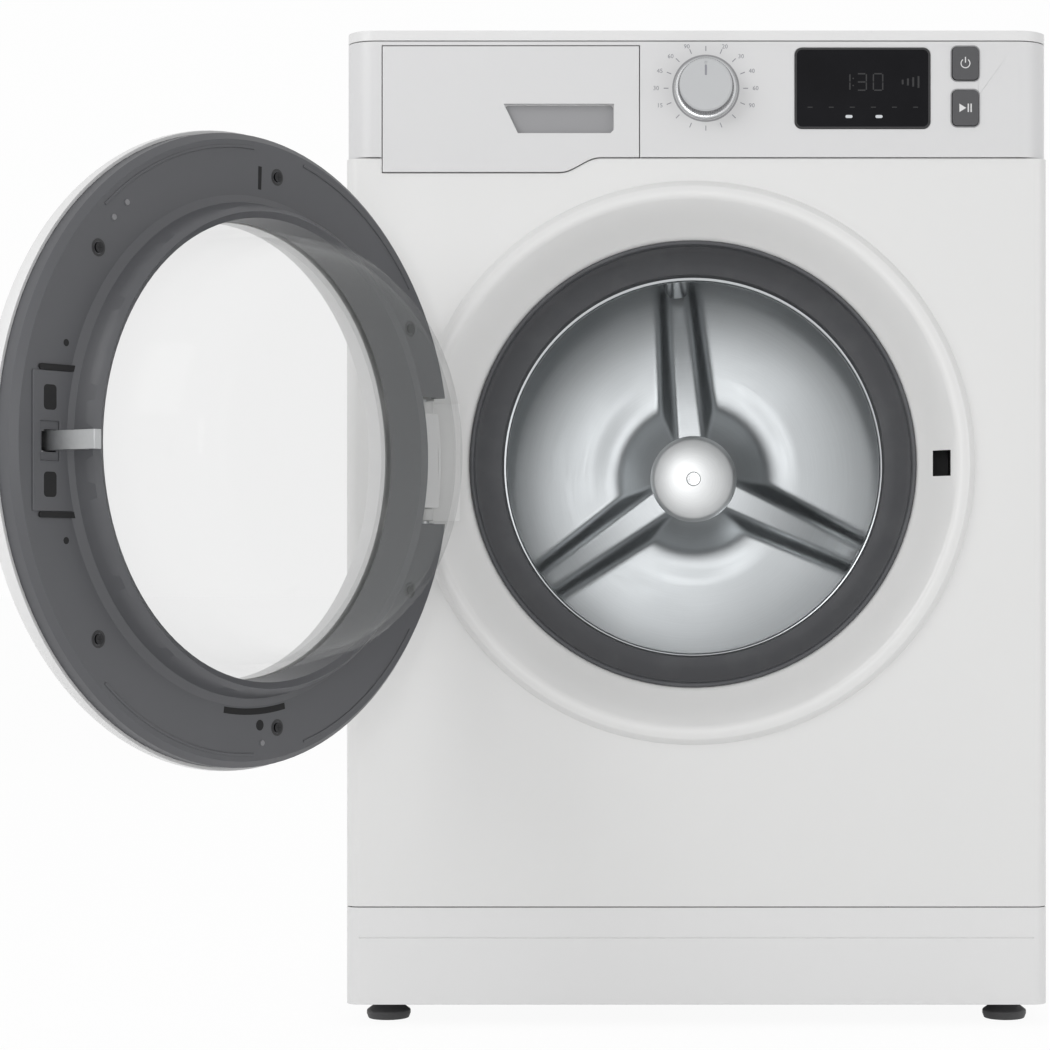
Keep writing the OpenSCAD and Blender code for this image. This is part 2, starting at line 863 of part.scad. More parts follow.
// Lift-off cap over the siphon pipe of the softener bay
module siphon_cap() {
    top = siphon_top + 4;
    color("lightskyblue")
        difference() {
            union() {
                translate([siphon_x, fy(tray_end - 45), tray_z + 5])
                    cylinder(r = 9.5, h = top - tray_z - 6);
                limits_box(wall_a + tray_t + clear, wall_b - clear, tray_end - 70,
                    tray_end - tray_t - clear, top - 2, top);
                limits_box(siphon_x - 4, siphon_x + 4, tray_end - 66, tray_end - 60, top - 1, top + 12);
            }
            translate([siphon_x, fy(tray_end - 45), tray_z + 4])
                cylinder(r = 7.5, h = siphon_top + runner_gap - tray_z - 4);
        }
}

module dispenser_housing() {
    d0 = pocket_d + plastic_t;
    x0 = tray_x0 - tray_gap;
    x1 = tray_x1 + tray_gap;
    z0 = tray_z - tray_gap;
    z1 = tray_z + tray_h + tray_gap;
    color("gainsboro") {
        difference() {
            union() {
                limits_box(x0 - housing_t, x1 + housing_t, d0, housing_end, housing_z, z1 + housing_t);
                translate([spout_x, fy(spout_d), housing_z - 12])
                    cylinder(r = spout_r, h = 13);
                depth_bar(inlet_x, inlet_z, 7, housing_end - 1, housing_end + 16);
            }
            limits_box(x0, x1, d0 - 1, housing_end - housing_t, z0, z1);
            translate([spout_x, fy(spout_d), housing_z - 13])
                cylinder(r = spout_r - 2, h = 20);
            depth_bar(inlet_x, inlet_z, 5, housing_end - 5, housing_end + 20);
        }
        // Runners that carry and guide the tray
        for (x = [x0 + 8, x1 - 12]) {
            limits_box(x, x + 4, d0, housing_end - housing_t, z0 - eps, tray_z - runner_gap);
            limits_box(x, x + 4, d0, housing_end - housing_t, z1 - tray_gap + runner_gap, z1 + eps);
        }
    }
}

spout_low = port_z + 227;

// Bellows between the dispenser and the tub inlet
module dispenser_hose() {
    top = housing_z - 12;
    rings = 5;
    pitch = (top - spout_low) / rings;
    color("dimgray")
        translate([spout_x, fy(spout_d), spout_low])
            rotate_extrude()
                polygon(concat(
                    [[spout_r - 2, 0]],
                    [for (i = [0 : 2 * rings]) [spout_r + (i % 2) * 5, i * pitch / 2]],
                    [[spout_r - 2, top - spout_low]]));
}

module inlet_valve() {
    color("white")
        difference() {
            union() {
                depth_bar(inlet_x, inlet_z, inlet_r, rear_face - 20, body_d + 13);
                depth_bar(inlet_x, inlet_z, inlet_r + 6, rear_face - sheet_t - 6, rear_face - sheet_t);
                limits_box(inlet_x - 14, inlet_x + 14, rear_face - 50, rear_face - 15,
                    inlet_z - 14, inlet_z + 14);
                limits_box(inlet_x - 12, inlet_x + 12, rear_face - 44, rear_face - 20,
                    inlet_z - 44, inlet_z - 13);
                depth_bar(inlet_x, inlet_z, 7, rear_face - 62, rear_face - 49);
            }
            depth_bar(inlet_x, inlet_z, inlet_r - 3, rear_face - 10, body_d + 14);
        }
}

module fill_hose() {
    color("dimgray") {
        depth_bar(inlet_x, inlet_z, 8, housing_end + 16, rear_face - 62);
        for (d = [housing_end + 22, rear_face - 68])
            depth_bar(inlet_x, inlet_z, 9.2, d - 3, d + 3);
    }
}

// ---- Drain pump ----

module drain_pump() {
    foot = base_floor + base_t;
    color("gray")
        difference() {
            union() {
                depth_bar(pump_x, pump_z, pump_r, pump_d, pump_d + pump_len);
                depth_bar(pump_x, pump_z, pump_r - 9, pump_d + pump_len - 1, pump_d + pump_len + 52);
                limits_box(pump_x - 24, pump_x + 24, pump_d + 10, pump_d + pump_len - 8, foot,
                    pump_z - pump_r + 6);
                translate([pump_x, fy(pump_d + pump_len - 18), pump_z])
                    cylinder(r = drain_r, h = pump_r + 14);
                translate([pump_x, fy(pump_d + pump_len - 24), pump_z])
                    rotate([0, -90, 0])
                        cylinder(r = sump_hose_r - 3, h = pump_r + 12);
            }
            depth_bar(pump_x, pump_z, filter_r + clear, pump_d - 1, pump_d + 56);
        }
}

// Screw-in lint filter with its finger bar
module pump_filter() {
    color("white") {
        depth_bar(pump_x, pump_z, filter_r + 4, pump_d - 5, pump_d - clear);
        limits_box(pump_x - 4, pump_x + 4, pump_d - 10, pump_d - 4.9, pump_z - 24, pump_z + 24);
        difference() {
            depth_bar(pump_x, pump_z, filter_r, pump_d - 1, pump_d + 50);
            depth_bar(pump_x, pump_z, filter_r - 3, pump_d + 5, pump_d + 51);
            for (k = [0 : 3])
                translate([pump_x, fy(pump_d + 28), pump_z])
                    rotate([0, 45 * k, 0])
                        cube([12, 30, 80], center = true);
        }
    }
}

module sump_hose() {
    end_x = pump_x - pump_r - 12;
    end_d = pump_d + pump_len - 24;
    top = sump_z - 12 - runner_gap;
    line = [[sump_x, fy(sump_spout_d), top], [sump_x, fy(sump_spout_d), top - 14],
        [sump_x, fy(sump_spout_d), top - 28], [sump_x + 30, fy(sump_spout_d - 80), sump_z - 100],
        [end_x - 60, fy(end_d + 22), pump_z + 6], [end_x - 30, fy(end_d), pump_z],
        [end_x - 15, fy(end_d), pump_z], [end_x - runner_gap, fy(end_d), pump_z]];
    color("dimgray")
        hose(route(line, 5), sump_hose_r, [0.3, -1, 0.5], 12);
}

module drain_pipe() {
    start = [pump_x, fy(pump_d + pump_len - 18), pump_z + pump_r + 14 + runner_gap];
    end_d = rear_face - 24 - runner_gap;
    line = [start, start + [0, 0, 8], start + [0, 0, 16], start + [12, 22, 34],
        [half_w - 48, fy(170), outlet_z + 5], [half_w - 42, fy(300), outlet_z],
        [outlet_x + 4, fy(end_d - 70), outlet_z], [outlet_x, fy(end_d - 36), outlet_z],
        [outlet_x, fy(end_d - 18), outlet_z], [outlet_x, fy(end_d), outlet_z]];
    color("gray")
        hose(route(line, 4), drain_r + 1.5, [1, 0.2, 0.3]);
}

// Strain relief of the mains cord and the drain outlet fitting on the rear panel
module cord_gland() {
    color("black") {
        difference() {
            union() {
                depth_bar(-outlet_x, outlet_z, 8.6, rear_face - 10, body_d + 10);
                depth_bar(-outlet_x, outlet_z, 13, rear_face, rear_face + 4);
            }
            depth_bar(-outlet_x, outlet_z, 4, rear_face - 11, body_d + 11);
        }
        difference() {
            union() {
                depth_bar(outlet_x, outlet_z, drain_r, rear_face - 24, body_d + 13);
                depth_bar(outlet_x, outlet_z, drain_r + 7, rear_face, rear_face + 3);
            }
            depth_bar(outlet_x, outlet_z, drain_r - 2, rear_face - 20, body_d + 14);
        }
    }
}

module transit_plugs() {
    color("lightgray")
        for (sx = [-1, 1], z = transit_z) {
            depth_bar(port_x + sx * transit_x, z, transit_r, rear_face, rear_face + 3);
            depth_bar(port_x + sx * transit_x, z, transit_r - 3 - fit, rear_face - 8, rear_face + 1);
        }
}

// ---- Feet ----

module foot_pads() {
    color("dimgray")
        foot_places()
            difference() {
                union() {
                    cylinder(r1 = pad_r - 1.5, r2 = pad_r, h = 4);
                    translate([0, 0, 4])
                        cylinder(r = pad_r, h = 3);
                    translate([0, 0, 7])
                        cylinder(r1 = pad_r, r2 = stem_r + 6, h = base_z - nut_t - 7);
                }
                translate([0, 0, 4])
                    cylinder(r = stem_r + fit, h = base_z);
            }
}

module foot_stems() {
    color("silver")
        foot_places()
            translate([0, 0, 4])
                cylinder(r = stem_r, h = base_floor + 14);
}

module foot_locknuts() {
    color("silver")
        foot_places()
            translate([0, 0, base_z - nut_t])
                difference() {
                    cylinder(r = stem_r + 4.5, h = nut_t + sheet_t, $fn = 6);
                    translate([0, 0, -1])
                        cylinder(r = stem_r + fit, h = nut_t + 4);
                }
}

// ---- Door hinge and lock ----

module hinge_bracket() {
    back = -bead_h;
    z0 = port_z - hinge_h / 2;
    reach = hinge_out - bead_h - bracket_t;
    color("white")
        difference() {
            union() {
                limits_box(hinge_x - 14, hinge_x + 30, back - bracket_t, back, z0, z0 + hinge_h);
                for (z = [z0, z0 + hinge_h - lug_t])
                    translate([hinge_x, hinge_y, z]) {
                        cylinder(r = knuckle_r, h = lug_t);
                        translate([-lug_w / 2, 0, 0])
                            cube([lug_w, reach + 0.5, lug_t]);
                    }
            }
            translate([hinge_x, hinge_y, z0 - 1])
                cylinder(r = pin_r + fit, h = hinge_h + 2);
        }
}

module hinge_pin() {
    color("silver")
        translate([hinge_x, hinge_y, port_z - hinge_h / 2]) {
            cylinder(r = pin_r, h = hinge_h + 2);
            translate([0, 0, -3])
                cylinder(r = pin_r + 2, h = 3);
        }
}

// Interlock behind the front panel, with the slot that takes the hook
module door_lock() {
    x0 = latch_x - 9;
    d0 = cone_d + 2;
    deep = 22;
    color("black")
        difference() {
            union() {
                limits_box(x0, latch_x + 34, d0, d0 + deep, port_z - 44, port_z + 44);
                limits_box(port_x + bead_r + 6, latch_x + 62, sheet_t, d0 + 10, port_z - 44, port_z + 44);
                limits_box(latch_x + 30, port_x + bead_r + 8, d0, d0 + 10, port_z - 44, port_z + 44);
            }
            latch_window(2, d0 - 1, d0 + deep - 2);
        }
}

// ---- Door ----

// Keeps the part of the door beyond the hinge axis inside the swing of its rim
module hinge_relief() {
    translate([hinge_x, hinge_y, port_z])
        difference() {
            translate([-60, -80, -150])
                cube([60, 160, 300]);
            cylinder(r = rim_r, h = 302, center = true);
        }
}

ring_profile = concat(
    arc_line([hinge_r, rim_d], rim_r, 12, -90, 12),
    [[hinge_r - 16, rim_d - rim_r - 2.4], [hinge_r - 32, rim_d - rim_r - 2.6],
        [window_r + 7, rim_d - rim_r - 1], [window_r + 2, rim_d - rim_r + 3],
        [window_r + 1, rim_d - rim_r + 9], [window_r + 1, flange_d - 0.3]]);

module door_outer_ring() {
    slot = knuckle_gap + 1;
    z0 = port_z - hinge_h / 2;
    color("white")
        door_pose()
            difference() {
                union() {
                    port_wall(ring_profile, ring_t);
                    handle_lip();
                }
                hinge_relief();
                for (z = [z0, z0 + hinge_h - lug_t])
                    translate([hinge_x - 30, hinge_y - rim_r - 1, z - slot])
                        cube([24, rim_r + 40, lug_t + 2 * slot]);
            }
}

// Thicker lip at the opening side that the fingers pull on
module handle_lip() {
    intersection() {
        on_port_axis()
            rotate_extrude()
                polygon(concat(arc_line([hinge_r, rim_d], rim_r - 1, 0, -60, 6),
                    arc_line([hinge_r, rim_d], rim_r - 6, -60, 0, 6)));
        limits_box(port_x + 180, port_x + 300, -80, 0, port_z - 60, port_z + 60);
    }
}

frame_out = ring_out - ring_t - 0.5;
frame_t = 3;
collar_r = window_r + 10;
frame_profile = [[frame_out, rim_d + 3], [frame_out, door_back - 5], [frame_out - 5, door_back],
    [collar_r + 11, door_back], [collar_r + 5, door_back + 4], [collar_r + 1, door_back + 19],
    [collar_r - 3, door_back + 23], [collar_r - 8, door_back + 20],
    [collar_r - 9, flange_d + glass_t + 2 * clear]];
notch_x = 36;

module door_inner_frame() {
    z0 = port_z - hinge_h / 2;
    color("dimgray")
        door_pose()
            difference() {
                union() {
                    port_wall(frame_profile, -frame_t);
                    // Lugs for the latch pin
                    for (s = [-1, 1])
                        limits_box(latch_x - 7, latch_x + 7, hook_pin_d - 6, door_back - frame_t + 0.5,
                            port_z + s * (hook_h / 2 + 4) - 3, port_z + s * (hook_h / 2 + 4) + 3);
                }
                hinge_relief();
                translate([hinge_x - 30, hinge_y - 30, z0 - 3])
                    cube([30 + notch_x, 80, hinge_h + 6]);
                limits_box(latch_x - 7, latch_x + 7, -15 + door_back, door_back + 1,
                    port_z - hook_h / 2 - 1, port_z + hook_h / 2 + 1);
                translate([latch_x, fy(hook_pin_d), port_z - 20])
                    cylinder(r = hook_pin_r + fit, h = 40);
                frame_screw_places()
                    cylinder(r = 2 + fit, h = 30, center = true);
            }
}

screw_angles = [-150, -97, -41, 41, 97, 150];
screw_r = (collar_r + frame_out) / 2 + 1;

module frame_screw_places() {
    for (a = screw_angles)
        at_port_angle(a, door_back)
            translate([screw_r, 0, 0])
                children();
}

module door_screws() {
    color("silver")
        door_pose() {
            frame_screw_places()
                cylinder(r = 4, h = 1.6);
            frame_screw_places()
                translate([0, 0, -14])
                    cylinder(r = 2, h = 14.5);
        }
}

wall_in = window_r - glass_t;
glass_profile = [[window_r + 12, flange_d], [wall_in, flange_d + 0.5], [wall_in - 4, rim_d + 15],
    [wall_in - 8, rim_d + 42], [bowl_r + 28, rim_d + bowl_d - 28], [bowl_r + 14, rim_d + bowl_d - 8],
    [bowl_r, rim_d + bowl_d - 1], [0, rim_d + bowl_d + 2]];

module door_glass() {
    color([0.75, 0.85, 0.88, 0.4])
        door_pose()
            on_port_axis()
                rotate_extrude()
                    polygon(glass_outline());
}

// The glass wall follows the profile; its middle stays on the axis
function glass_outline() =
    let (outline = wall_line(glass_profile, glass_t))
    [for (p = outline) [max(p[0], 0), p[1]]];

module hinge_arm() {
    z0 = port_z - knuckle_h / 2;
    plate_back = door_back - frame_t;
    plate_t = 2.5;
    color("gainsboro")
        door_pose()
            difference() {
                union() {
                    translate([hinge_x, hinge_y, z0])
                        cylinder(r = knuckle_r, h = knuckle_h);
                    limits_box(hinge_x, hinge_x + 12, -hinge_out, plate_back, z0, z0 + knuckle_h);
                    limits_box(hinge_x + 8, hinge_x + notch_x + 6, plate_back - plate_t, plate_back,
                        z0, z0 + knuckle_h);
                }
                translate([hinge_x, hinge_y, z0 - 1])
                    cylinder(r = pin_r + fit, h = knuckle_h + 2);
            }
}

module latch_hook() {
    tip = cone_d + 14;
    x0 = latch_x - hook_w / 2;
    color("silver")
        door_pose()
            difference() {
                limits_box(x0, x0 + hook_w, hook_pin_d - 4, tip, port_z - hook_h / 2, port_z + hook_h / 2);
                translate([latch_x, fy(hook_pin_d), port_z - 20])
                    cylinder(r = hook_pin_r + fit, h = 40);
                limits_box(x0 - 1, x0 + 3.5, tip - 12, tip - 5, port_z - 20, port_z + 20);
            }
}

module latch_pin() {
    color("silver")
        door_pose()
            translate([latch_x, fy(hook_pin_d), port_z - hook_h / 2 - 7])
                cylinder(r = hook_pin_r, h = hook_h + 14);
}

// ---- Tub ----

module tub_front() {
    d0 = tub_front_d;
    color("lightgray")
        union() {
            difference() {
                union() {
                    on_port_axis()
                        rotate_extrude()
                            polygon([[tub_mouth_r, d0 - 10], [tub_mouth_r + 3, d0 - 10],
                                [tub_mouth_r + 3, d0],
                                [tub_out, d0], [tub_out, tub_seam_d - 6], [tub_out + tub_rim, tub_seam_d - 6],
                                [tub_out + tub_rim, tub_seam_d], [tub_in, tub_seam_d], [tub_in, d0 + tub_t],
                                [tub_mouth_r, d0 + tub_t]]);
                    translate([spout_x, fy(spout_d), port_z + 190])
                        cylinder(r = spout_r, h = spout_low - port_z - 190);
                }
                translate([spout_x, fy(spout_d), port_z + 150])
                    cylinder(r = spout_r - 2.5, h = 100);
                on_port_axis(d0 + tub_t)
                    cylinder(r = tub_in, h = tub_seam_d - d0 - tub_t);
            }
            for (s = [-1, 1])
                damper_lugs(s);
        }
}

// Lugs and pin under the tub for the upper eye of a damper
module damper_lugs(s) {
    gap = damper_eye_w / 2 + clear;
    x = s * damper_top_x;
    difference() {
        for (side = [-1, 1])
            limits_box(x - 12, x + 12, damper_d + side * (gap + 2) - 2, damper_d + side * (gap + 2) + 2,
                damper_top_z - 9, port_z - 180);
        on_port_axis(damper_d - 40)
            cylinder(r = tub_in + tub_t / 2, h = 80);
    }
    depth_bar(x, damper_top_z, damper_pin_r, damper_d - gap - 3, damper_d + gap + 3);
}

module tub_rear() {
    back = tub_back_d + tub_t;
    color("lightgray")
        difference() {
            union() {
                on_port_axis()
                    rotate_extrude()
                        polygon([[tub_in, tub_seam_d], [tub_out + tub_rim, tub_seam_d],
                            [tub_out + tub_rim, tub_seam_d + 6], [tub_out, tub_seam_d + 6],
                            [tub_out, back], [hub_r, back], [hub_r, hub_d], [bearing_r + fit, hub_d],
                            [bearing_r + fit, tub_back_d + tub_t], [shaft_r + 8, tub_back_d + tub_t],
                            [shaft_r + 8, tub_back_d], [tub_in, tub_back_d]]);
                for (k = [0 : 11])
                    at_port_angle(30 * k + 15, back - 1)
                        translate([hub_r - 2, -2, 0])
                            cube([tub_out - hub_r, 4, 13]);
                difference() {
                    union() {
                        limits_box(sump_x - 48, sump_x + 48, tub_seam_d + 20, back, sump_z,
                            port_z - tub_in + 30);
                        for (s = [-1, 1])
                            limits_box(s * spring_x - 10, s * spring_x + 10, spring_d - 7, spring_d + 7,
                                port_z + 100, spring_low);
                        for (d = [motor_back - motor_len + 16, motor_back - 28])
                            limits_box(motor_x - 18, motor_x + 30, d, d + 12, motor_z + motor_r + 6,
                                port_z - 200);
                    }
                    on_port_axis(tub_seam_d - 1)
                        cylinder(r = tub_in + tub_t / 2, h = back - tub_seam_d + 2);
                }
                translate([sump_x, fy(sump_spout_d), sump_z - 12])
                    cylinder(r = sump_hose_r - 3, h = 14);
            }
            limits_box(sump_x - 44, sump_x + 44, tub_seam_d + 24, tub_back_d, sump_z + tub_t,
                port_z - tub_in + 10);
            translate([sump_x, fy(sump_spout_d), sump_z - 13])
                cylinder(r = sump_hose_r - 6, h = 30);
            for (s = [-1, 1])
                depth_bar(sump_x + s * 16, sump_z + 13, 4.2, tub_back_d - 1, back + 1);
        }
}

gasket_t = 3.5;
gasket_lip = cone_d + 6;
gasket_seat = port_r - 0.3;
gasket_profile = [[gasket_seat, cone_d - 3], [gasket_seat, gasket_lip + 6], [port_r + 2, gasket_lip + 14],
    [port_r + 8, gasket_lip + 20], [port_r + 8, tub_front_d - 22], [port_r - 2, tub_front_d - 15],
    [tub_mouth_r + 8, tub_front_d - 14], [tub_mouth_r - 0.3, tub_front_d - 12.5],
    [tub_mouth_r - 0.3, tub_front_d + 8]];

module door_gasket() {
    color("dimgray")
        port_wall(gasket_profile, -gasket_t);
}

module front_counterweight() {
    color("darkgray")
        on_port_axis(tub_front_d - front_weight_t)
            difference() {
                cylinder(r = tub_out - 2, h = front_weight_t);
                translate([0, 0, -1])
                    cylinder(r = port_r + 16, h = front_weight_t + 2);
            }
}

module top_counterweight() {
    d0 = tub_seam_d + 14;
    color("darkgray")
        intersection() {
            on_port_axis(d0)
                difference() {
                    cylinder(r = tub_out + top_weight_t, h = 165);
                    translate([0, 0, -1])
                        cylinder(r = tub_out, h = 167);
                }
            limits_box(port_x - 45, spring_x - spring_r - 14, d0 - 1, d0 + 166, port_z + 100, port_z + 400);
        }
}

module drum_bearings() {
    d0 = tub_back_d + tub_t;
    color("silver")
        for (k = [0, 1])
            on_port_axis(d0 + k * (bearing_w + bearing_gap))
                difference() {
                    cylinder(r = bearing_r, h = bearing_w);
                    translate([0, 0, -1])
                        cylinder(r = shaft_r + fit, h = bearing_w + 2);
                }
}

// Bent heating element with its terminal plate
module heater() {
    z = sump_z + 13;
    d0 = tub_seam_d + 60;
    leg = 16;
    color("silver") {
        for (s = [-1, 1])
            depth_bar(sump_x + s * leg, z, 4, d0, tub_back_d + tub_t + 5);
        translate([sump_x, fy(d0), z])
            rotate([0, 0, 180])
                rotate_extrude(angle = 180)
                    translate([leg, 0])
                        circle(4);
        limits_box(sump_x - 30, sump_x + 30, tub_back_d + tub_t, tub_back_d + tub_t + 3, z - 9, z + 9);
    }
}

// ---- Motor and belt ----

module motor_housing() {
    color("gray")
        difference() {
            union() {
                depth_bar(motor_x, motor_z, motor_r, motor_back - motor_len, motor_back);
                for (d = [motor_back - motor_len + 16, motor_back - 28])
                    limits_box(motor_x - 18, motor_x + 30, d, d + 12, motor_z + 20, motor_z + motor_r + 6);
            }
            depth_bar(motor_x, motor_z, 6 + fit, motor_back - 30, motor_back + 1);
        }
}

module motor_pulley() {
    color("silver") {
        depth_bar(motor_x, motor_z, 6, motor_back - 28, pulley_d + pulley_w);
        depth_bar(motor_x, motor_z, motor_pulley_r, pulley_d, pulley_d + pulley_w);
    }
}

function belt_outline(grow) =
    let (r1 = pulley_r + grow, r2 = motor_pulley_r + grow)
    let (c = norm([motor_dx, motor_dz]), wrap = acos((r1 - r2) / c))
    concat(arc_line([0, 0], r1, wrap, 360 - wrap, 60), arc_line([c, 0], r2, 360 - wrap, 360 + wrap, 14));

module drive_belt() {
    slope = atan2(-motor_dz, motor_dx);
    color("black")
        at_port_angle(slope, pulley_d + 1)
            linear_extrude(belt_w)
                difference() {
                    polygon(belt_outline(clear + 3));
                    polygon(belt_outline(clear));
                }
}

// ---- Springs and dampers ----

module tub_spring(s) {
    per_turn = 10;
    gap = 0.3;
    count = spring_turns * per_turn;
    rise = spring_top - spring_low - 2 * gap - 2 * wire_r;
    line = [for (i = [0 : count])
        [spring_r * cos(i * 360 / per_turn), spring_r * sin(i * 360 / per_turn), rise * i / count]];
    translate([s * spring_x, fy(spring_d), spring_low + gap + wire_r])
        hose(line, wire_r, [0, 0, 1], 6);
}

module tub_springs() {
    color("silver")
        for (s = [-1, 1])
            tub_spring(s);
}

// Local Z runs from the lower pivot of a damper to its upper pivot
module damper_pose(s) {
    translate([s * damper_foot_x, fy(damper_d), damper_z])
        rotate([0, -s * damper_lean, 0])
            children();
}

damper_bore = damper_pin_r + fit;
damper_loose = damper_pin_r + 0.5;

module damper_tube(s) {
    color("dimgray")
        damper_pose(s)
            difference() {
                union() {
                    cylinder_between(8, damper_len * 0.62, damper_tube_r - 5);
                    cylinder_between(16, damper_len * 0.62, damper_tube_r);
                    rotate([90, 0, 0])
                        cylinder(r = damper_eye_r, h = damper_eye_w, center = true);
                }
                rotate([90, 0, 0])
                    cylinder(r = damper_bore, h = damper_eye_w + 2, center = true);
                translate([0, 0, 24])
                    cylinder(r = damper_rod_r + clear, h = damper_len);
            }
}

module cylinder_between(z0, z1, r) {
    translate([0, 0, z0])
        cylinder(r = r, h = z1 - z0);
}

module damper_rod(s) {
    color("white")
        damper_pose(s)
            difference() {
                union() {
                    cylinder_between(damper_len * 0.26, damper_len - 6, damper_rod_r);
                    translate([0, 0, damper_len])
                        rotate([90, 0, 0])
                            cylinder(r = damper_eye_r, h = damper_eye_w, center = true);
                }
                translate([0, 0, damper_len])
                    rotate([90, 0, 0])
                        cylinder(r = damper_loose, h = damper_eye_w + 2, center = true);
            }
}

module left_damper_tube() {
    damper_tube(-1);
}

module right_damper_tube() {
    damper_tube(1);
}

module left_damper_rod() {
    damper_rod(-1);
}

module right_damper_rod() {
    damper_rod(1);
}

// ---- Drum ----

drum_t = 1;
star_r = 74;
star_h = 16;
drum_profile = [[drum_mouth_r + 6, drum_d + 9], [drum_mouth_r, drum_d + 6], [drum_mouth_r, drum_d + 2],
    [drum_mouth_r + 5, drum_d], [drum_r - 10, drum_d + 4], [drum_r - 2, drum_d + 7],
    [drum_r, drum_d + 13], [drum_r, drum_back - 10], [drum_r - 3, drum_back - 3],
    [drum_r - 10, drum_back], [star_r, drum_back], [star_r - 34, drum_back - star_h],
    [shaft_r + 5, drum_back - star_h - 2]];

// Sheet steel drum; its back is pressed into a cone with three arms
module drum_shell() {
    color("lightsteelblue")
        difference() {
            union() {
                port_wall(drum_profile, -drum_t);
                for (a = arm_angles)
                    star_arm(a, 0);
            }
            for (a = arm_angles)
                star_arm(a, drum_t);
        }
}

// Arm of the star towards one lifter; with an inset it is the hollow behind the sheet
module star_arm(angle, inset) {
    r0 = star_r - 40;
    r1 = drum_r - 24 - inset;
    at_port_angle(angle, drum_back)
        hull() {
            translate([r0, inset - 34, 0])
                cube([eps, 2 * (34 - inset), eps + 2 * inset]);
            translate([r0, inset - 8, inset - star_h])
                cube([eps, 2 * (8 - inset), eps]);
            translate([r1, inset - 22, 0])
                cube([eps, 2 * (22 - inset), eps + 2 * inset]);
            translate([r1 - 22, inset - 6, inset - 7])
                cube([eps, 2 * (6 - inset), eps]);
        }
}

// Lifter with sloped flanks and rounded crest
module drum_lifters() {
    seat = drum_r - drum_t - clear;
    half = 34;
    sag = seat - sqrt(seat * seat - half * half);
    color("silver")
        for (a = arm_angles)
            at_port_angle(a, drum_d + 26)
                linear_extrude(drum_len - 50)
                    polygon([[seat - sag, -half], [seat - sag - 6, -half], [seat - sag - 16, -half + 14],
                        [seat - lifter_h + 3, -11], [seat - lifter_h, -6], [seat - lifter_h, 6],
                        [seat - lifter_h + 3, 11], [seat - sag - 16, half - 14], [seat - sag - 6, half],
                        [seat - sag, half]]);
}

// Cast spider with its shaft, and the belt pulley bolted to the shaft
module drum_spider() {
    color("darkgray") {
        on_port_axis(drum_back)
            cylinder(r = 38, h = spider_t + 4);
        on_port_axis(drum_back)
            cylinder(r = shaft_r, h = pulley_d + pulley_w - drum_back + 5);
        for (a = arm_angles)
            at_port_angle(a, drum_back)
                translate([0, -17, 0])
                    cube([drum_r - 12, 34, spider_t]);
        drum_pulley();
    }
}

module drum_pulley() {
    on_port_axis(pulley_d) {
        difference() {
            cylinder(r = pulley_r, h = pulley_w);
            translate([0, 0, -1])
                cylinder(r = pulley_r - 9, h = pulley_w + 2);
        }
        cylinder(r = 28, h = pulley_w);
        for (k = [0 : 5])
            rotate([0, 0, 60 * k])
                translate([0, -8, 3])
                    cube([pulley_r - 5, 16, pulley_w - 6]);
    }
}

base_tray();
left_side_panel();
right_side_panel();
rear_panel();
rear_cover();
cabinet_screws();
front_panel();
kick_panel();
front_rail();
worktop();
control_fascia();
display_window();
control_board();
foot_pads();
foot_stems();
foot_locknuts();
hinge_bracket();
hinge_pin();
door_lock();
dispenser_housing();
dispenser_hose();
inlet_valve();
fill_hose();
drain_pump();
pump_filter();
sump_hose();
drain_pipe();
cord_gland();
transit_plugs();
door_outer_ring();
door_inner_frame();
door_glass();
hinge_arm();
latch_hook();
latch_pin();
door_screws();
drawer_front();
drawer_tray();
siphon_cap();
programme_knob();
power_button();
start_button();
tub_front();
tub_rear();
door_gasket();
front_counterweight();
top_counterweight();
drum_bearings();
heater();
motor_housing();
motor_pulley();
drive_belt();
tub_springs();
left_damper_tube();
right_damper_tube();
left_damper_rod();
right_damper_rod();
drum_shell();
drum_lifters();
drum_spider();
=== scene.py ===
"""Front load washing machine: finishes, fine pieces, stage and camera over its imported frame."""
import json
import logging
import math
from dataclasses import dataclass, field
from enum import Enum
from functools import cache
from typing import Any, Optional, Sequence, Union

import bmesh
import bpy
from mathutils import Matrix, Vector


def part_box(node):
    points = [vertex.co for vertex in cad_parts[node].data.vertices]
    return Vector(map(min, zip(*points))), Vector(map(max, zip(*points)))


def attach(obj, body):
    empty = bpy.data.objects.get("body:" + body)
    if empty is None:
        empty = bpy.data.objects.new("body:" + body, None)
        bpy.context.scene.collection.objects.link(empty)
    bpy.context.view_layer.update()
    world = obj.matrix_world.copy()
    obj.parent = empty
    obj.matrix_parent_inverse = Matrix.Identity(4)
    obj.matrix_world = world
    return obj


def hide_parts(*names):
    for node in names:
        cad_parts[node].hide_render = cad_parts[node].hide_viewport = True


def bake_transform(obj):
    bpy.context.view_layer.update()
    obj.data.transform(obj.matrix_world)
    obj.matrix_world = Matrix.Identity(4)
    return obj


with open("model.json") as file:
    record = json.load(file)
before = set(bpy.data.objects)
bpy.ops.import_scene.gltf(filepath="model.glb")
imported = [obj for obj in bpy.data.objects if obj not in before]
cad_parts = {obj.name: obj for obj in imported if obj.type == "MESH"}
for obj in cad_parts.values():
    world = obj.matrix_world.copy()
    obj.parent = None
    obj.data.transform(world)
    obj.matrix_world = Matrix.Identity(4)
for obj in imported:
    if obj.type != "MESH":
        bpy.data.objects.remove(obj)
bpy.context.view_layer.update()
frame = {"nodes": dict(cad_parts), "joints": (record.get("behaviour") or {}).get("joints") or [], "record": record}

logging.basicConfig(level=logging.INFO, format="%(message)s")
LOG = logging.getLogger("washer")

Colour = tuple[float, float, float]
Point = tuple[float, float, float]
PlanePoint = tuple[float, float]


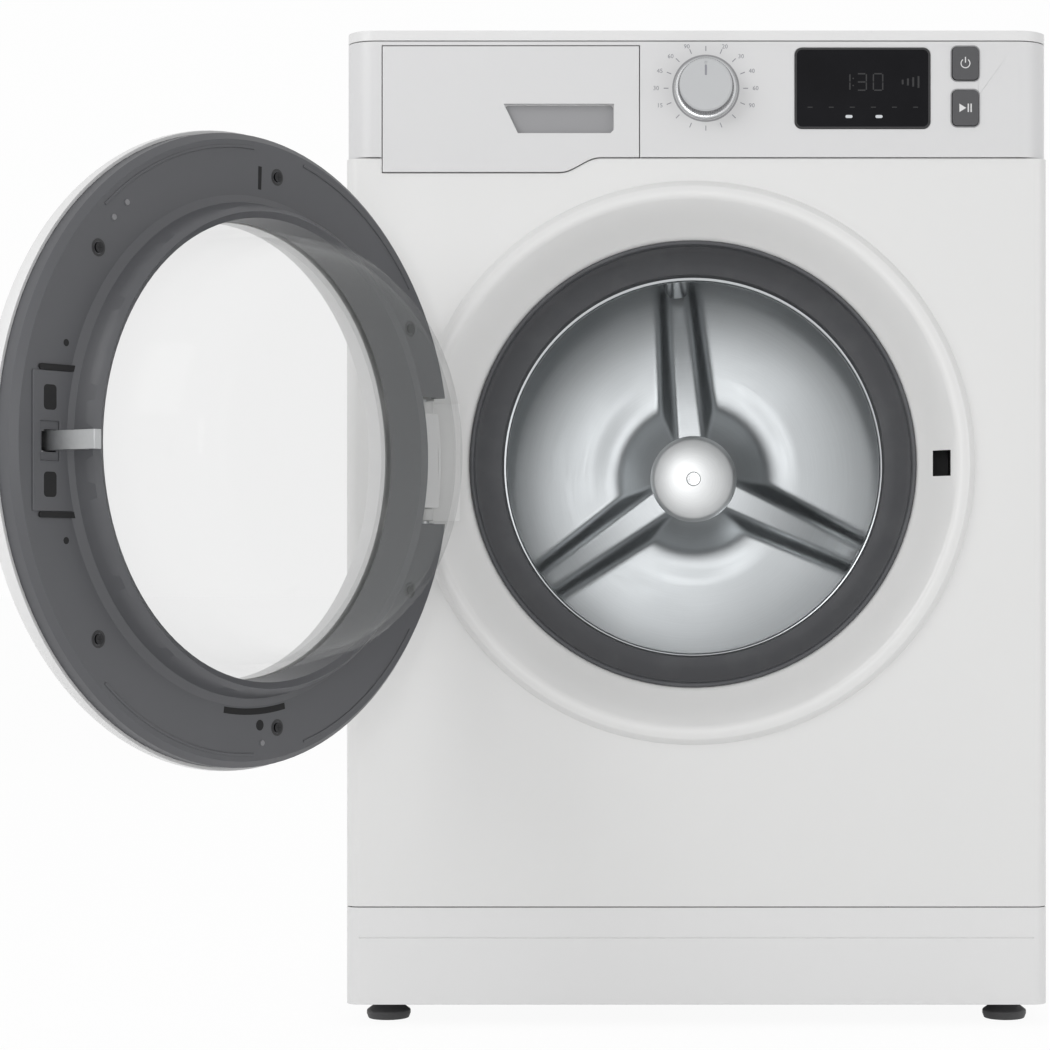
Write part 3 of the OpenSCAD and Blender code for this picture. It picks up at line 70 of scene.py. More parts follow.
def mm(*values: float) -> Any:
    """Turn millimetres into metres.

    Args:
        values: One or more lengths in millimetres.

    Returns:
        The single length, or a tuple of the lengths, in metres.
    """
    scaled = tuple(v / 1000 for v in values)
    return scaled[0] if len(scaled) == 1 else scaled


def joint(name: str) -> dict[str, Any]:
    """The record's entry of a joint."""
    return next(entry for entry in frame["joints"] if entry["name"] == name)


def joint_place(name: str) -> Point:
    """Place of a joint's axis, in mm."""
    return tuple(1000 * c for c in joint(name)["pos_m"])


# Plane of the front panel, and the middle of the porthole in it
FRONT = -270.0
PORT_X, _, PORT_Z = joint_place("drum_spin")
PORT = Vector(mm(PORT_X, FRONT, PORT_Z))


# ---------------------------------------------------------------- node graphs


class Value:
    """A node socket that takes part in Python expressions."""

    def __init__(self, graph: "Graph", socket: bpy.types.NodeSocket) -> None:
        """Keep the socket and the graph that it belongs to."""
        self.graph = graph
        self.socket = socket

    def _math(self, operation: str, *others: Any) -> "Value":
        """Add one Math node with this value first."""
        return self.graph.math(operation, self, *others)

    def __add__(self, other: Any) -> "Value":
        """Sum."""
        return self._math("ADD", other)

    def __radd__(self, other: Any) -> "Value":
        """Sum with a number on the left."""
        return self.graph.math("ADD", other, self)

    def __sub__(self, other: Any) -> "Value":
        """Difference."""
        return self._math("SUBTRACT", other)

    def __rsub__(self, other: Any) -> "Value":
        """Difference from a number on the left."""
        return self.graph.math("SUBTRACT", other, self)

    def __mul__(self, other: Any) -> "Value":
        """Product."""
        return self._math("MULTIPLY", other)

    def __rmul__(self, other: Any) -> "Value":
        """Product with a number on the left."""
        return self.graph.math("MULTIPLY", other, self)

    def __truediv__(self, other: Any) -> "Value":
        """Quotient."""
        return self._math("DIVIDE", other)

    def __rtruediv__(self, other: Any) -> "Value":
        """Quotient of a number on the left."""
        return self.graph.math("DIVIDE", other, self)

    def __pow__(self, other: Any) -> "Value":
        """Power."""
        return self._math("POWER", other)

    def __abs__(self) -> "Value":
        """Distance from zero."""
        return self._math("ABSOLUTE")

    def __gt__(self, other: Any) -> "Value":
        """One where this is above the other, else zero."""
        return self._math("GREATER_THAN", other)

    def least(self, other: Any) -> "Value":
        """The smaller of the two."""
        return self._math("MINIMUM", other)

    def most(self, other: Any) -> "Value":
        """The larger of the two."""
        return self._math("MAXIMUM", other)

    def sine(self) -> "Value":
        """Sine of an angle in radians."""
        return self._math("SINE")

    def cosine(self) -> "Value":
        """Cosine of an angle in radians."""
        return self._math("COSINE")

    def root(self) -> "Value":
        """Square root."""
        return self._math("SQRT")

    def angle_from(self, other: Any) -> "Value":
        """Angle of the direction (other, this)."""
        return self._math("ARCTAN2", other)

    def step(self, low: float, high: float) -> "Value":
        """Soft step from 0 at low to 1 at high.

        Args:
            low: The value where the step starts.
            high: The value where the step ends.

        Returns:
            The smooth step.
        """
        return self.graph.node(
            "ShaderNodeMapRange",
            {"interpolation_type": "SMOOTHSTEP"},
            {0: self, 1: low, 2: high, 3: 0.0, 4: 1.0},
        )

    def between(self, low: float, high: float, soft: float) -> "Value":
        """Soft band that is 1 from low to high.

        Args:
            low: Lower edge of the band.
            high: Upper edge of the band.
            soft: Width of each soft edge.

        Returns:
            The band mask.
        """
        return self.step(low - soft, low + soft) * (1 - self.step(high - soft, high + soft))


class Graph:
    """A node tree built in code, shared by shaders and by geometry."""

    def __init__(self, tree: bpy.types.NodeTree) -> None:
        """Keep the tree that the nodes go into."""
        self.tree = tree

    def node(
        self,
        kind: str,
        settings: Optional[dict[str, Any]] = None,
        inputs: Optional[dict[Union[int, str], Any]] = None,
        output: Union[int, str] = 0,
    ) -> Value:
        """Add one node, set it up and wire it.

        Args:
            kind: Blender's type name of the node.
            settings: Properties set first; "stops" fills a colour ramp.
            inputs: Values or links by the socket's name or index.
            output: Which output to hand back.

        Returns:
            The chosen output, ready for expressions.
        """
        made = self.tree.nodes.new(kind)
        for key, setting in (settings or {}).items():
            if key == "stops":
                self._fill_ramp(made.color_ramp, setting)
            else:
                setattr(made, key, setting)
        for key, given in (inputs or {}).items():
            socket = made.inputs[key]
            for one in given if isinstance(given, list) else [given]:
                if isinstance(one, Value):
                    self.tree.links.new(one.socket, socket)
                elif one is not None:
                    socket.default_value = one
        return Value(self, made.outputs[output] if made.outputs else None)

    @staticmethod
    def _fill_ramp(ramp: bpy.types.ColorRamp, stops: Sequence[tuple[float, Colour]]) -> None:
        """Give a colour ramp its stops.

        Args:
            ramp: The colour ramp.
            stops: Place from 0 to 1 and colour of each stop.
        """
        while len(ramp.elements) > len(stops):
            ramp.elements.remove(ramp.elements[-1])
        while len(ramp.elements) < len(stops):
            ramp.elements.new(1.0)
        for element, (place, colour) in zip(ramp.elements, stops):
            element.position = place
            element.color = (*colour, 1.0)

    def math(self, operation: str, *operands: Any) -> Value:
        """Add one Math node."""
        return self.node("ShaderNodeMath", {"operation": operation}, dict(enumerate(operands)))

    def vector(self, x: Any, y: Any, z: Any) -> Value:
        """Join three numbers into a vector."""
        return self.node("ShaderNodeCombineXYZ", None, {0: x, 1: y, 2: z})

    def parts(self, vector: Value) -> tuple[Value, Value, Value]:
        """Split a vector into its three numbers.

        Args:
            vector: The vector.

        Returns:
            Its X, Y and Z.
        """
        split = self.node("ShaderNodeSeparateXYZ", None, {0: vector})
        outs = split.socket.node.outputs
        return Value(self, outs[0]), Value(self, outs[1]), Value(self, outs[2])


class Shader(Graph):
    """The node tree of one material."""

    def __init__(self, name: str) -> None:
        """Make an empty material with its node tree.

        Args:
            name: Name of the material.
        """
        self.material = bpy.data.materials.new(name)
        self.material.use_nodes = True
        self.material.node_tree.nodes.clear()
        super().__init__(self.material.node_tree)
        self.place = self.node("ShaderNodeTexCoord", output="Object")

    def noise(self, scale: float, detail: float = 2.0, vector: Optional[Value] = None) -> Value:
        """Noise from 0 to 1 over the object.

        Args:
            scale: Waves in a metre of the vector.
            detail: Octaves.
            vector: The place to read, the object's own if left out.

        Returns:
            The noise value.
        """
        inputs = {"Vector": vector or self.place, "Scale": scale, "Detail": detail}
        return self.node("ShaderNodeTexNoise", None, inputs)

    def blend(self, factor: Any, first: Any, second: Any) -> Value:
        """Mix two colours.

        Args:
            factor: Share of the second colour.
            first: Colour, or its link, at factor 0.
            second: Colour, or its link, at factor 1.

        Returns:
            The mixed colour.
        """
        first, second = (c if isinstance(c, Value) else (*c, 1.0) for c in (first, second))
        settings = {"data_type": "RGBA", "clamp_factor": True}
        return self.node("ShaderNodeMix", settings, {0: factor, 6: first, 7: second}, 2)

    def bump(self, height: Value, distance: float, strength: float) -> Value:
        """Turn a height into a bent normal.

        Args:
            height: Height from 0 to 1.
            distance: Depth of the relief in metres.
            strength: How much of it shows.

        Returns:
            The normal.
        """
        inputs = {"Height": height, "Distance": distance, "Strength": strength}
        return self.node("ShaderNodeBump", None, inputs)

    def surface(self, **sockets: Any) -> bpy.types.Material:
        """Close the material with one surface shader.

        Args:
            sockets: Values by socket name, with _ for a space.

        Returns:
            The finished material.
        """
        inputs: dict[Union[int, str], Any] = {}
        for name, given in sockets.items():
            if isinstance(given, tuple) and len(given) == 3 and name != "Normal":
                given = (*given, 1.0)
            inputs[name.replace("_", " ")] = given
        shade = self.node("ShaderNodeBsdfPrincipled", None, inputs)
        self.node("ShaderNodeOutputMaterial", None, {"Surface": shade})
        return self.material


class GeometryTree(Graph):
    """A Geometry Nodes tree that makes one plain mesh."""

    def __init__(self, name: str, sizes: dict[str, float]) -> None:
        """Make the tree with one named input for each size.

        Args:
            name: Name of the tree.
            sizes: Value of each named input.
        """
        super().__init__(bpy.data.node_groups.new(name, "GeometryNodeTree"))
        self.name = name
        self.sizes = sizes
        face = self.tree.interface
        face.new_socket("Geometry", in_out="OUTPUT", socket_type="NodeSocketGeometry")
        for label, size in sizes.items():
            kind = "NodeSocketInt" if isinstance(size, int) else "NodeSocketFloat"
            face.new_socket(label, in_out="INPUT", socket_type=kind)
        self.group_in = self.tree.nodes.new("NodeGroupInput")

    def size(self, label: str) -> Value:
        """The named input as a value."""
        return Value(self, self.group_in.outputs[label])

    def index(self) -> Value:
        """Index of the point."""
        return self.node("GeometryNodeInputIndex")

    def grid(self, columns: Any, rows: Any) -> Value:
        """Flat grid of points between 0 and 1 either way.

        Args:
            columns: Points across.
            rows: Points up.

        Returns:
            The grid.
        """
        sizes = {"Size X": 1.0, "Size Y": 1.0, "Vertices X": columns, "Vertices Y": rows}
        made = self.node("GeometryNodeMeshGrid", None, sizes)
        to_corner = {"Geometry": made, "Translation": (0.5, 0.5, 0.0)}
        return self.node("GeometryNodeTransform", None, to_corner)

    def spread(self) -> tuple[Value, Value]:
        """Place of the point on the unit grid, as two numbers."""
        x, y, _ = self.parts(self.node("GeometryNodeInputPosition"))
        return x, y

    def moved(self, geometry: Value, position: Value) -> Value:
        """Set the points' places."""
        return self.node("GeometryNodeSetPosition", None, {"Geometry": geometry, "Position": position})

    def facing(self, direction: Value, axis: str = "Z") -> Value:
        """Turn that points an axis of the copies along a direction."""
        return self.node("FunctionNodeAlignRotationToVector", {"axis": axis}, {"Vector": direction})

    def copies(self, points: Value, piece: Value, turn: Any = None) -> Value:
        """Put a copy of the piece on each point."""
        inputs = {"Points": points, "Instance": piece, "Rotation": turn}
        return self.node("GeometryNodeInstanceOnPoints", None, inputs)

    def dressed(self, geometry: Value, material: bpy.types.Material) -> Value:
        """Give the geometry its material."""
        return self.node("GeometryNodeSetMaterial", None, {"Geometry": geometry, "Material": material})

    def smooth(self, geometry: Value) -> Value:
        """Shade the faces smooth."""
        return self.node("GeometryNodeSetShadeSmooth", None, {"Geometry": geometry})

    def joined(self, *parts: Value) -> Value:
        """Join several geometries."""
        return self.node("GeometryNodeJoinGeometry", None, {0: list(parts)})

    def result(self, geometry: Value) -> bpy.types.Mesh:
        """Realize the tree's result as a plain mesh.

        Args:
            geometry: The last geometry of the tree.

        Returns:
            The mesh, with no modifier behind it.
        """
        real = self.node("GeometryNodeRealizeInstances", None, {0: geometry})
        out = self.tree.nodes.new("NodeGroupOutput")
        self.tree.links.new(real.socket, out.inputs[0])
        holder = bpy.data.objects.new(self.name, bpy.data.meshes.new(self.name))
        bpy.context.scene.collection.objects.link(holder)
        modifier = holder.modifiers.new(self.name, "NODES")
        modifier.node_group = self.tree
        for item in self.tree.interface.items_tree:
            if item.in_out == "INPUT":
                modifier[item.identifier] = self.sizes[item.name]
        shown = holder.evaluated_get(bpy.context.evaluated_depsgraph_get())
        mesh = bpy.data.meshes.new_from_object(shown)
        bpy.data.objects.remove(holder)
        return mesh


# ---------------------------------------------------------------- finishes


@dataclass(frozen=True)
class Finish:
    """One finish of the machine, made into a material once and then shared."""

    name: str
    colour: Colour
    roughness: float = 0.4

    @cache
    def material(self) -> bpy.types.Material:
        """The material of this finish, made the first time that it is asked for."""
        return self.build(Shader(self.name))

    def build(self, s: Shader) -> bpy.types.Material:
        """Make the node tree.

        Args:
            s: The empty shader of this finish.

        Returns:
            The finished material.
        """
        raise NotImplementedError


@dataclass(frozen=True)
class Enamel(Finish):
    """Baked white enamel on steel sheet, with orange peel, a drift in tone and dust near the floor."""

    peel: float = 0.00002
    dust: Colour = (0.55, 0.54, 0.52)

    def build(self, s: Shader) -> bpy.types.Material:
        """Make the node tree.

        Args:
            s: The empty shader of this finish.

        Returns:
            The finished material.
        """
        _, _, z = s.parts(s.place)
        drift = s.noise(2.2, 3.0)
        speck = s.noise(900.0, 1.0)
        low = (1 - z.step(0.02, 0.11)) * s.noise(35.0, 4.0).step(0.35, 0.8) * 0.22
        tone = s.blend(drift, tuple(c * 0.975 for c in self.colour), self.colour)
        tone = s.blend(low, tone, self.dust)
        peel = s.bump(s.noise(260.0, 2.0), self.peel, 0.5)
        return s.surface(
            Base_Color=tone,
            Roughness=self.roughness + 0.08 * drift + 0.03 * speck + 0.2 * low,
            Normal=peel,
            Coat_Weight=0.25,
            Coat_Roughness=0.12,
        )


@dataclass(frozen=True)
class Moulded(Finish):
    """Moulded plastic: fine spark-eroded grain, soft flow marks and a slightly uneven gloss."""

    grain: float = 0.00002
    grain_scale: float = 1500.0
    shade: float = 0.94
    coat: float = 0.0

    def build(self, s: Shader) -> bpy.types.Material:
        """Make the node tree.

        Args:
            s: The empty shader of this finish.

        Returns:
            The finished material.
        """
        flow = s.noise(9.0, 3.0)
        grain = s.noise(self.grain_scale, 2.0)
        tone = s.blend(flow * 0.7 + grain * 0.3, tuple(c * self.shade for c in self.colour), self.colour)
        return s.surface(
            Base_Color=tone,
            Roughness=self.roughness + 0.1 * flow - 0.05 + 0.04 * grain,
            Normal=s.bump(grain, self.grain, 0.6),
            Coat_Weight=self.coat,
            Coat_Roughness=0.15,
        )


@dataclass(frozen=True)
class Rubber(Finish):
    """Moulded rubber: matt, with bloom in patches and a fine pitted skin."""

    bloom: Colour = (0.16, 0.165, 0.17)

    def build(self, s: Shader) -> bpy.types.Material:
        """Make the node tree.

        Args:
            s: The empty shader of this finish.

        Returns:
            The finished material.
        """
        patches = s.noise(26.0, 5.0).step(0.45, 0.75)
        pits = s.noise(1300.0, 2.0)
        tone = s.blend(patches * 0.35, self.colour, self.bloom)
        return s.surface(
            Base_Color=tone,
            Roughness=self.roughness + 0.12 * patches,
            Normal=s.bump(pits, 0.00003, 0.5),
            Specular_IOR_Level=0.4,
        )


class Brush(Enum):
    """Direction of the brushing or rolling marks on a metal."""

    AROUND = "around the drum axis"
    ALONG_X = "along the width"
    ALONG_Z = "upright"
    NONE = "no direction"


@dataclass(frozen=True)
class Metal(Finish):
    """Steel or aluminium sheet with drawn marks, drift in tone and soft smears."""

    brush: Brush = Brush.NONE
    mark_depth: float = 0.00001
    smear: float = 0.1

    def build(self, s: Shader) -> bpy.types.Material:
        """Make the node tree.

        Args:
            s: The empty shader of this finish.

        Returns:
            The finished material.
        """
        x, y, z = s.parts(s.place)
        if self.brush is Brush.AROUND:
            side, up = x - PORT.x, z - PORT.z
            radius = (side * side + up * up).root()
            turn = up.angle_from(side)
            where = s.vector(radius * 900, turn * 1.5, y * 900)
        elif self.brush is Brush.ALONG_X:
            where = s.vector(x * 12, y * 900, z * 900)
        elif self.brush is Brush.ALONG_Z:
            where = s.vector(x * 900, y * 900, z * 12)
        else:
            where = s.vector(x * 300, y * 300, z * 300)
        marks = s.noise(1.0, 3.0, where)
        smears = s.noise(14.0, 4.0)
        tone = s.blend(marks * 0.6 + smears * 0.4, tuple(c * 0.82 for c in self.colour), self.colour)
        return s.surface(
            Base_Color=tone,
            Metallic=1.0,
            Roughness=self.roughness + self.smear * (smears - 0.5) + 0.1 * (marks - 0.5),
            Normal=s.bump(marks, self.mark_depth, 0.35),
        )


@dataclass(frozen=True)
class Casting(Finish):
    """Rough casting: grainy skin, dark pores and worn high spots."""

    metallic: float = 1.0
    grain: float = 0.0003

    def build(self, s: Shader) -> bpy.types.Material:
        """Make the node tree.

        Args:
            s: The empty shader of this finish.

        Returns:
            The finished material.
        """
        skin = s.noise(420.0, 4.0)
        pores = s.noise(160.0, 3.0).step(0.62, 0.72)
        tone = s.blend(skin, tuple(c * 0.7 for c in self.colour), self.colour)
        tone = s.blend(pores * 0.7, tone, tuple(c * 0.35 for c in self.colour))
        return s.surface(
            Base_Color=tone,
            Metallic=self.metallic,
            Roughness=self.roughness + 0.2 * pores,
            Normal=s.bump(skin - 0.6 * pores, self.grain, 0.5),
        )


@dataclass(frozen=True)
class ClearGlass(Finish):
    """Moulded door glass with faint water marks; what lies behind shows through undistorted, and towards its
    silhouette it turns more opaque, a painted glint along its edges.
    """

    def build(self, s: Shader) -> bpy.types.Material:
        """Make the node tree.

        Args:
            s: The empty shader of this finish.

        Returns:
            The finished material.
        """
        marks = s.noise(60.0, 4.0).step(0.62, 0.8)
        # Alpha rises where the glass turns edge-on: a painted glint along its edges
        rim = s.node("ShaderNodeLayerWeight", None, {"Blend": 0.5}, "Facing") ** 3.0
        return s.surface(
            Base_Color=s.blend(marks, self.colour, tuple(c * 1.3 for c in self.colour)),
            Roughness=self.roughness + 0.05 * marks,
            Alpha=(0.085 + 0.015 * marks + 0.08 * rim).least(0.3),
            Specular_IOR_Level=0.5,
        )


@dataclass(frozen=True)
class DisplayGlass(Finish):
    """Glossy dark window of the display, with a faint haze."""

    def build(self, s: Shader) -> bpy.types.Material:
        """Make the node tree.

        Args:
            s: The empty shader of this finish.

        Returns:
            The finished material.
        """
        haze = s.noise(30.0, 4.0)
        return s.surface(
            Base_Color=s.blend(haze, self.colour, tuple(c * 2.2 for c in self.colour)),
            Roughness=self.roughness + 0.06 * haze.step(0.5, 0.8),
            Specular_IOR_Level=0.1,
        )


@dataclass(frozen=True)
class Board(Finish):
    """Circuit board with a lacquered mask and copper tracks under it."""

    def build(self, s: Shader) -> bpy.types.Material:
        """Make the node tree.

        Args:
            s: The empty shader of this finish.

        Returns:
            The finished material.
        """
        x, _, z = s.parts(s.place)
        upright = (x * 900).sine().step(0.4, 0.6) * s.noise(50.0, 0.0).step(0.45, 0.5)
        across = (z * 1100).sine().step(0.5, 0.7) * s.noise(65.0, 0.0).step(0.5, 0.55)
        tracks = upright.most(across)
        return s.surface(
            Base_Color=s.blend(tracks, self.colour, (0.05, 0.26, 0.09)),
            Roughness=self.roughness + 0.15 * tracks,
            Normal=s.bump(tracks, 0.00004, 0.6),
        )


@dataclass(frozen=True)
class Glow(Finish):
    """Lit mark behind the display window."""

    strength: float = 0.6

    def build(self, s: Shader) -> bpy.types.Material:
        """Make the node tree.

        Args:
            s: The empty shader of this finish.

        Returns:
            The finished material.
        """
        grain = s.noise(800.0, 1.0)
        tone = s.blend(grain, tuple(c * 0.85 for c in self.colour), self.colour)
        return s.surface(
            Base_Color=tone,
            Roughness=self.roughness,
            Emission_Color=tone,
            Emission_Strength=self.strength,
        )


WHITE_ENAMEL = Enamel("white_enamel", (0.77, 0.77, 0.765), 0.3)
WHITE_PLASTIC = Moulded("white_plastic", (0.77, 0.77, 0.77), 0.32, grain=0.000012, shade=0.97, coat=0.15)
# Darker copy of the white plastic for the fascia and drawer front: painted shade that keeps them darker than the
# body
FASCIA_SHADE_PLASTIC = Moulded(
    "fascia_shade_plastic", (0.70, 0.70, 0.705), 0.32, grain=0.000012, shade=0.97, coat=0.15
)
LIGHT_GREY_PLASTIC = Moulded("light_grey_plastic", (0.60, 0.61, 0.62), 0.42)
TUB_PLASTIC = Moulded(
    "tub_plastic", (0.58, 0.59, 0.60), 0.6, grain=0.00008, grain_scale=500.0, shade=0.85
)
DARK_GREY_PLASTIC = Moulded(
    "dark_grey_plastic", (0.098, 0.10, 0.108), 0.42, grain=0.00003, grain_scale=1300.0, shade=0.82
)
BUTTON_PLASTIC = Moulded(
    "button_plastic", (0.075, 0.075, 0.08), 0.38, grain=0.00001, grain_scale=1600.0, shade=0.85, coat=0.2
)
BLACK_PLASTIC = Moulded(
    "black_plastic", (0.03, 0.03, 0.032), 0.5, grain=0.00004, grain_scale=1000.0, shade=0.75
)
KNOB_PLASTIC = Moulded("knob_plastic", (0.52, 0.53, 0.54), 0.3, grain=0.00001, shade=0.96, coat=0.3)
SATIN_CHROME = Metal("satin_chrome", (0.72, 0.73, 0.74), 0.22, mark_depth=0.000004)
PRINT_GREY = Moulded(
    "print_grey", (0.30, 0.30, 0.33), 0.5, grain=0.000004, grain_scale=2500.0, shade=0.8
)
BLUE_PLASTIC = Moulded("blue_plastic", (0.30, 0.50, 0.72), 0.32)
GREY_RUBBER = Rubber("grey_rubber", (0.084, 0.086, 0.093), 0.55)
BLACK_RUBBER = Rubber("black_rubber", (0.022, 0.022, 0.023), 0.62, bloom=(0.06, 0.06, 0.06))
FOOT_RUBBER = Rubber("foot_rubber", (0.10, 0.10, 0.102), 0.6, bloom=(0.16, 0.16, 0.16))
DRUM_STEEL = Metal("drum_steel", (0.63, 0.655, 0.67), 0.3, brush=Brush.AROUND, mark_depth=0.00002)
ZINC_STEEL = Metal("zinc_steel", (0.56, 0.57, 0.575), 0.38, mark_depth=0.00003, smear=0.2)
REAR_STEEL = Metal("rear_steel", (0.58, 0.59, 0.60), 0.4, brush=Brush.ALONG_Z, smear=0.16)
# Slightly darker copy of the drum steel for the back sheet: painted shade of the drum's back
BACK_STEEL_SHADE = Metal("back_steel_shade", (0.60, 0.625, 0.64), 0.33, brush=Brush.AROUND)
# Brighter copy of the drum steel for the centre cap: a painted highlight in the middle of the drum
CAP_STEEL_HIGHLIGHT = Metal("cap_steel_highlight", (0.92, 0.935, 0.94), 0.33, brush=Brush.AROUND, mark_depth=0.000006)
LIFTER_STEEL = Metal("lifter_steel", (0.56, 0.585, 0.60), 0.30, brush=Brush.ALONG_X, mark_depth=0.000012)
# Dark satin metal of the knob's grip: partly its own finish, partly a painted shade of the knob's side
SLEEVE_METAL_SHADE = Metal("sleeve_metal_shade", (0.30, 0.30, 0.31), 0.3, mark_depth=0.000006)
PIP_GREY = Moulded("pip_grey", (0.22, 0.22, 0.23), 0.45)
BLACK_ZINC = Metal("black_zinc", (0.05, 0.05, 0.052), 0.4)
# Grey that paints the shade in recesses and round raised parts
PAINTED_SHADE_GREY = Moulded("painted_shade_grey", (0.33, 0.33, 0.34), 0.5, grain=0.00001, shade=0.9)
WHITE_PRINT = Moulded(
    "white_print", (0.74, 0.74, 0.74), 0.45, grain=0.000004, grain_scale=2500.0, shade=0.92
)
SPRING_STEEL = Metal("spring_steel", (0.42, 0.42, 0.43), 0.35, mark_depth=0.00002)
ALUMINIUM = Casting("aluminium_casting", (0.58, 0.59, 0.60), 0.5)
IRON_WEIGHT = Casting("iron_weight", (0.34, 0.34, 0.335), 0.85, metallic=0.0, grain=0.0008)
CLEAR_GLASS = ClearGlass("clear_glass", (0.22, 0.23, 0.228), 0.03)
DISPLAY_GLASS = DisplayGlass("display_glass", (0.004, 0.004, 0.005), 0.36)
CIRCUIT_BOARD = Board("circuit_board", (0.02, 0.13, 0.045), 0.35)
# Black that paints the shade inside holes, slots and recesses that are not cut
PAINTED_HOLE_SHADE = Moulded("painted_hole_shade", (0.012, 0.012, 0.013), 0.8, grain_scale=900.0, shade=0.6)
LIT_MARK = Glow("lit_mark", (0.5, 0.52, 0.54), 0.5, strength=0.3)
UNLIT_MARK = Moulded(
    "unlit_mark", (0.022, 0.022, 0.024), 0.5, grain=0.000004, grain_scale=2500.0, shade=0.9
)

SLOT_FINISH: dict[str, Finish] = {
    "white_enamel": WHITE_ENAMEL,
    "white_plastic": WHITE_PLASTIC,
    "light_grey_plastic": LIGHT_GREY_PLASTIC,
    "tub_plastic": TUB_PLASTIC,
    "dark_grey_plastic": DARK_GREY_PLASTIC,
    "black_plastic": BLACK_PLASTIC,
    "black_display": DISPLAY_GLASS,
    "clear_glass": CLEAR_GLASS,
    "stainless_steel": DRUM_STEEL,
    "zinc_steel": ZINC_STEEL,
    "aluminium_casting": ALUMINIUM,
    "grey_rubber": GREY_RUBBER,
    "black_rubber": BLACK_RUBBER,
    "iron_weight": IRON_WEIGHT,
    "blue_plastic": BLUE_PLASTIC,
    "green_board": CIRCUIT_BOARD,
}


# ---------------------------------------------------------------- mesh making


@dataclass(frozen=True)
class Reach:
    """Second body of a soft piece, and where it would turn over to that body; only whether one is given is read.
    """

    body: str
    start: Point
    end: Point


def piece(
    name: str,
    mesh: bpy.types.Mesh,
    body: str,
    slot: str,
    finish: Optional[Finish] = None,
    reach: Optional[Reach] = None,
) -> bpy.types.Object:
    """Make an object of a finished mesh and let it ride on its body, unless a second body is given.

    Args:
        name: Name of the piece.
        mesh: The mesh, in the machine's own place.
        body: Body that the piece rides on.
        slot: The record's material slot; not used.
        finish: Its finish, unless the mesh already has materials.
        reach: A second body; when given, the piece is set in place on no body and nothing makes it give way.

    Returns:
        The object.
    """
    mesh.name = name
    if finish is not None:
        mesh.materials.clear()
        mesh.materials.append(finish.material())
    made = bpy.data.objects.new(name, mesh)
    bpy.context.scene.collection.objects.link(made)
    if reach is None:
        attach(made, body)
    else:
        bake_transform(made)
    LOG.info("%s rides on %s, %d faces", name, body, len(mesh.polygons))
    return made


def circle(centre: PlanePoint, radius: float, steps: int) -> list[PlanePoint]:
    """Points of a circle, counter-clockwise seen from the front, with the first one on the right."""
    turns = [2 * math.pi * k / steps for k in range(steps)]
    return [(centre[0] + radius * math.cos(t), centre[1] + radius * math.sin(t)) for t in turns]


def rounded_outline(
    x0: float, x1: float, z0: float, z1: float, r: float, steps: int = 8
) -> list[PlanePoint]:
    """Outline of a rectangle with round corners.

    Args:
        x0: Left edge.
        x1: Right edge.
        z0: Bottom edge.
        z1: Top edge.
        r: Corner radius.
        steps: Steps on each corner.

    Returns:
        The points, counter-clockwise seen from the front.
    """
    line = []
    corners = ((x1 - r, z1 - r, 0), (x0 + r, z1 - r, 90), (x0 + r, z0 + r, 180), (x1 - r, z0 + r, 270))
    for cx, cz, start in corners:
        for k in range(steps + 1):
            a = math.radians(start + 90 * k / steps)
            line.append((cx + r * math.cos(a), cz + r * math.sin(a)))
    return line


def directions(angle: float) -> tuple[Vector, Vector]:
    """Directions out from the porthole's axis and along its circle, at an angle in degrees."""
    a = math.radians(angle)
    return Vector((math.cos(a), 0, math.sin(a))), Vector((-math.sin(a), 0, math.cos(a)))


Ring = list[bmesh.types.BMVert]


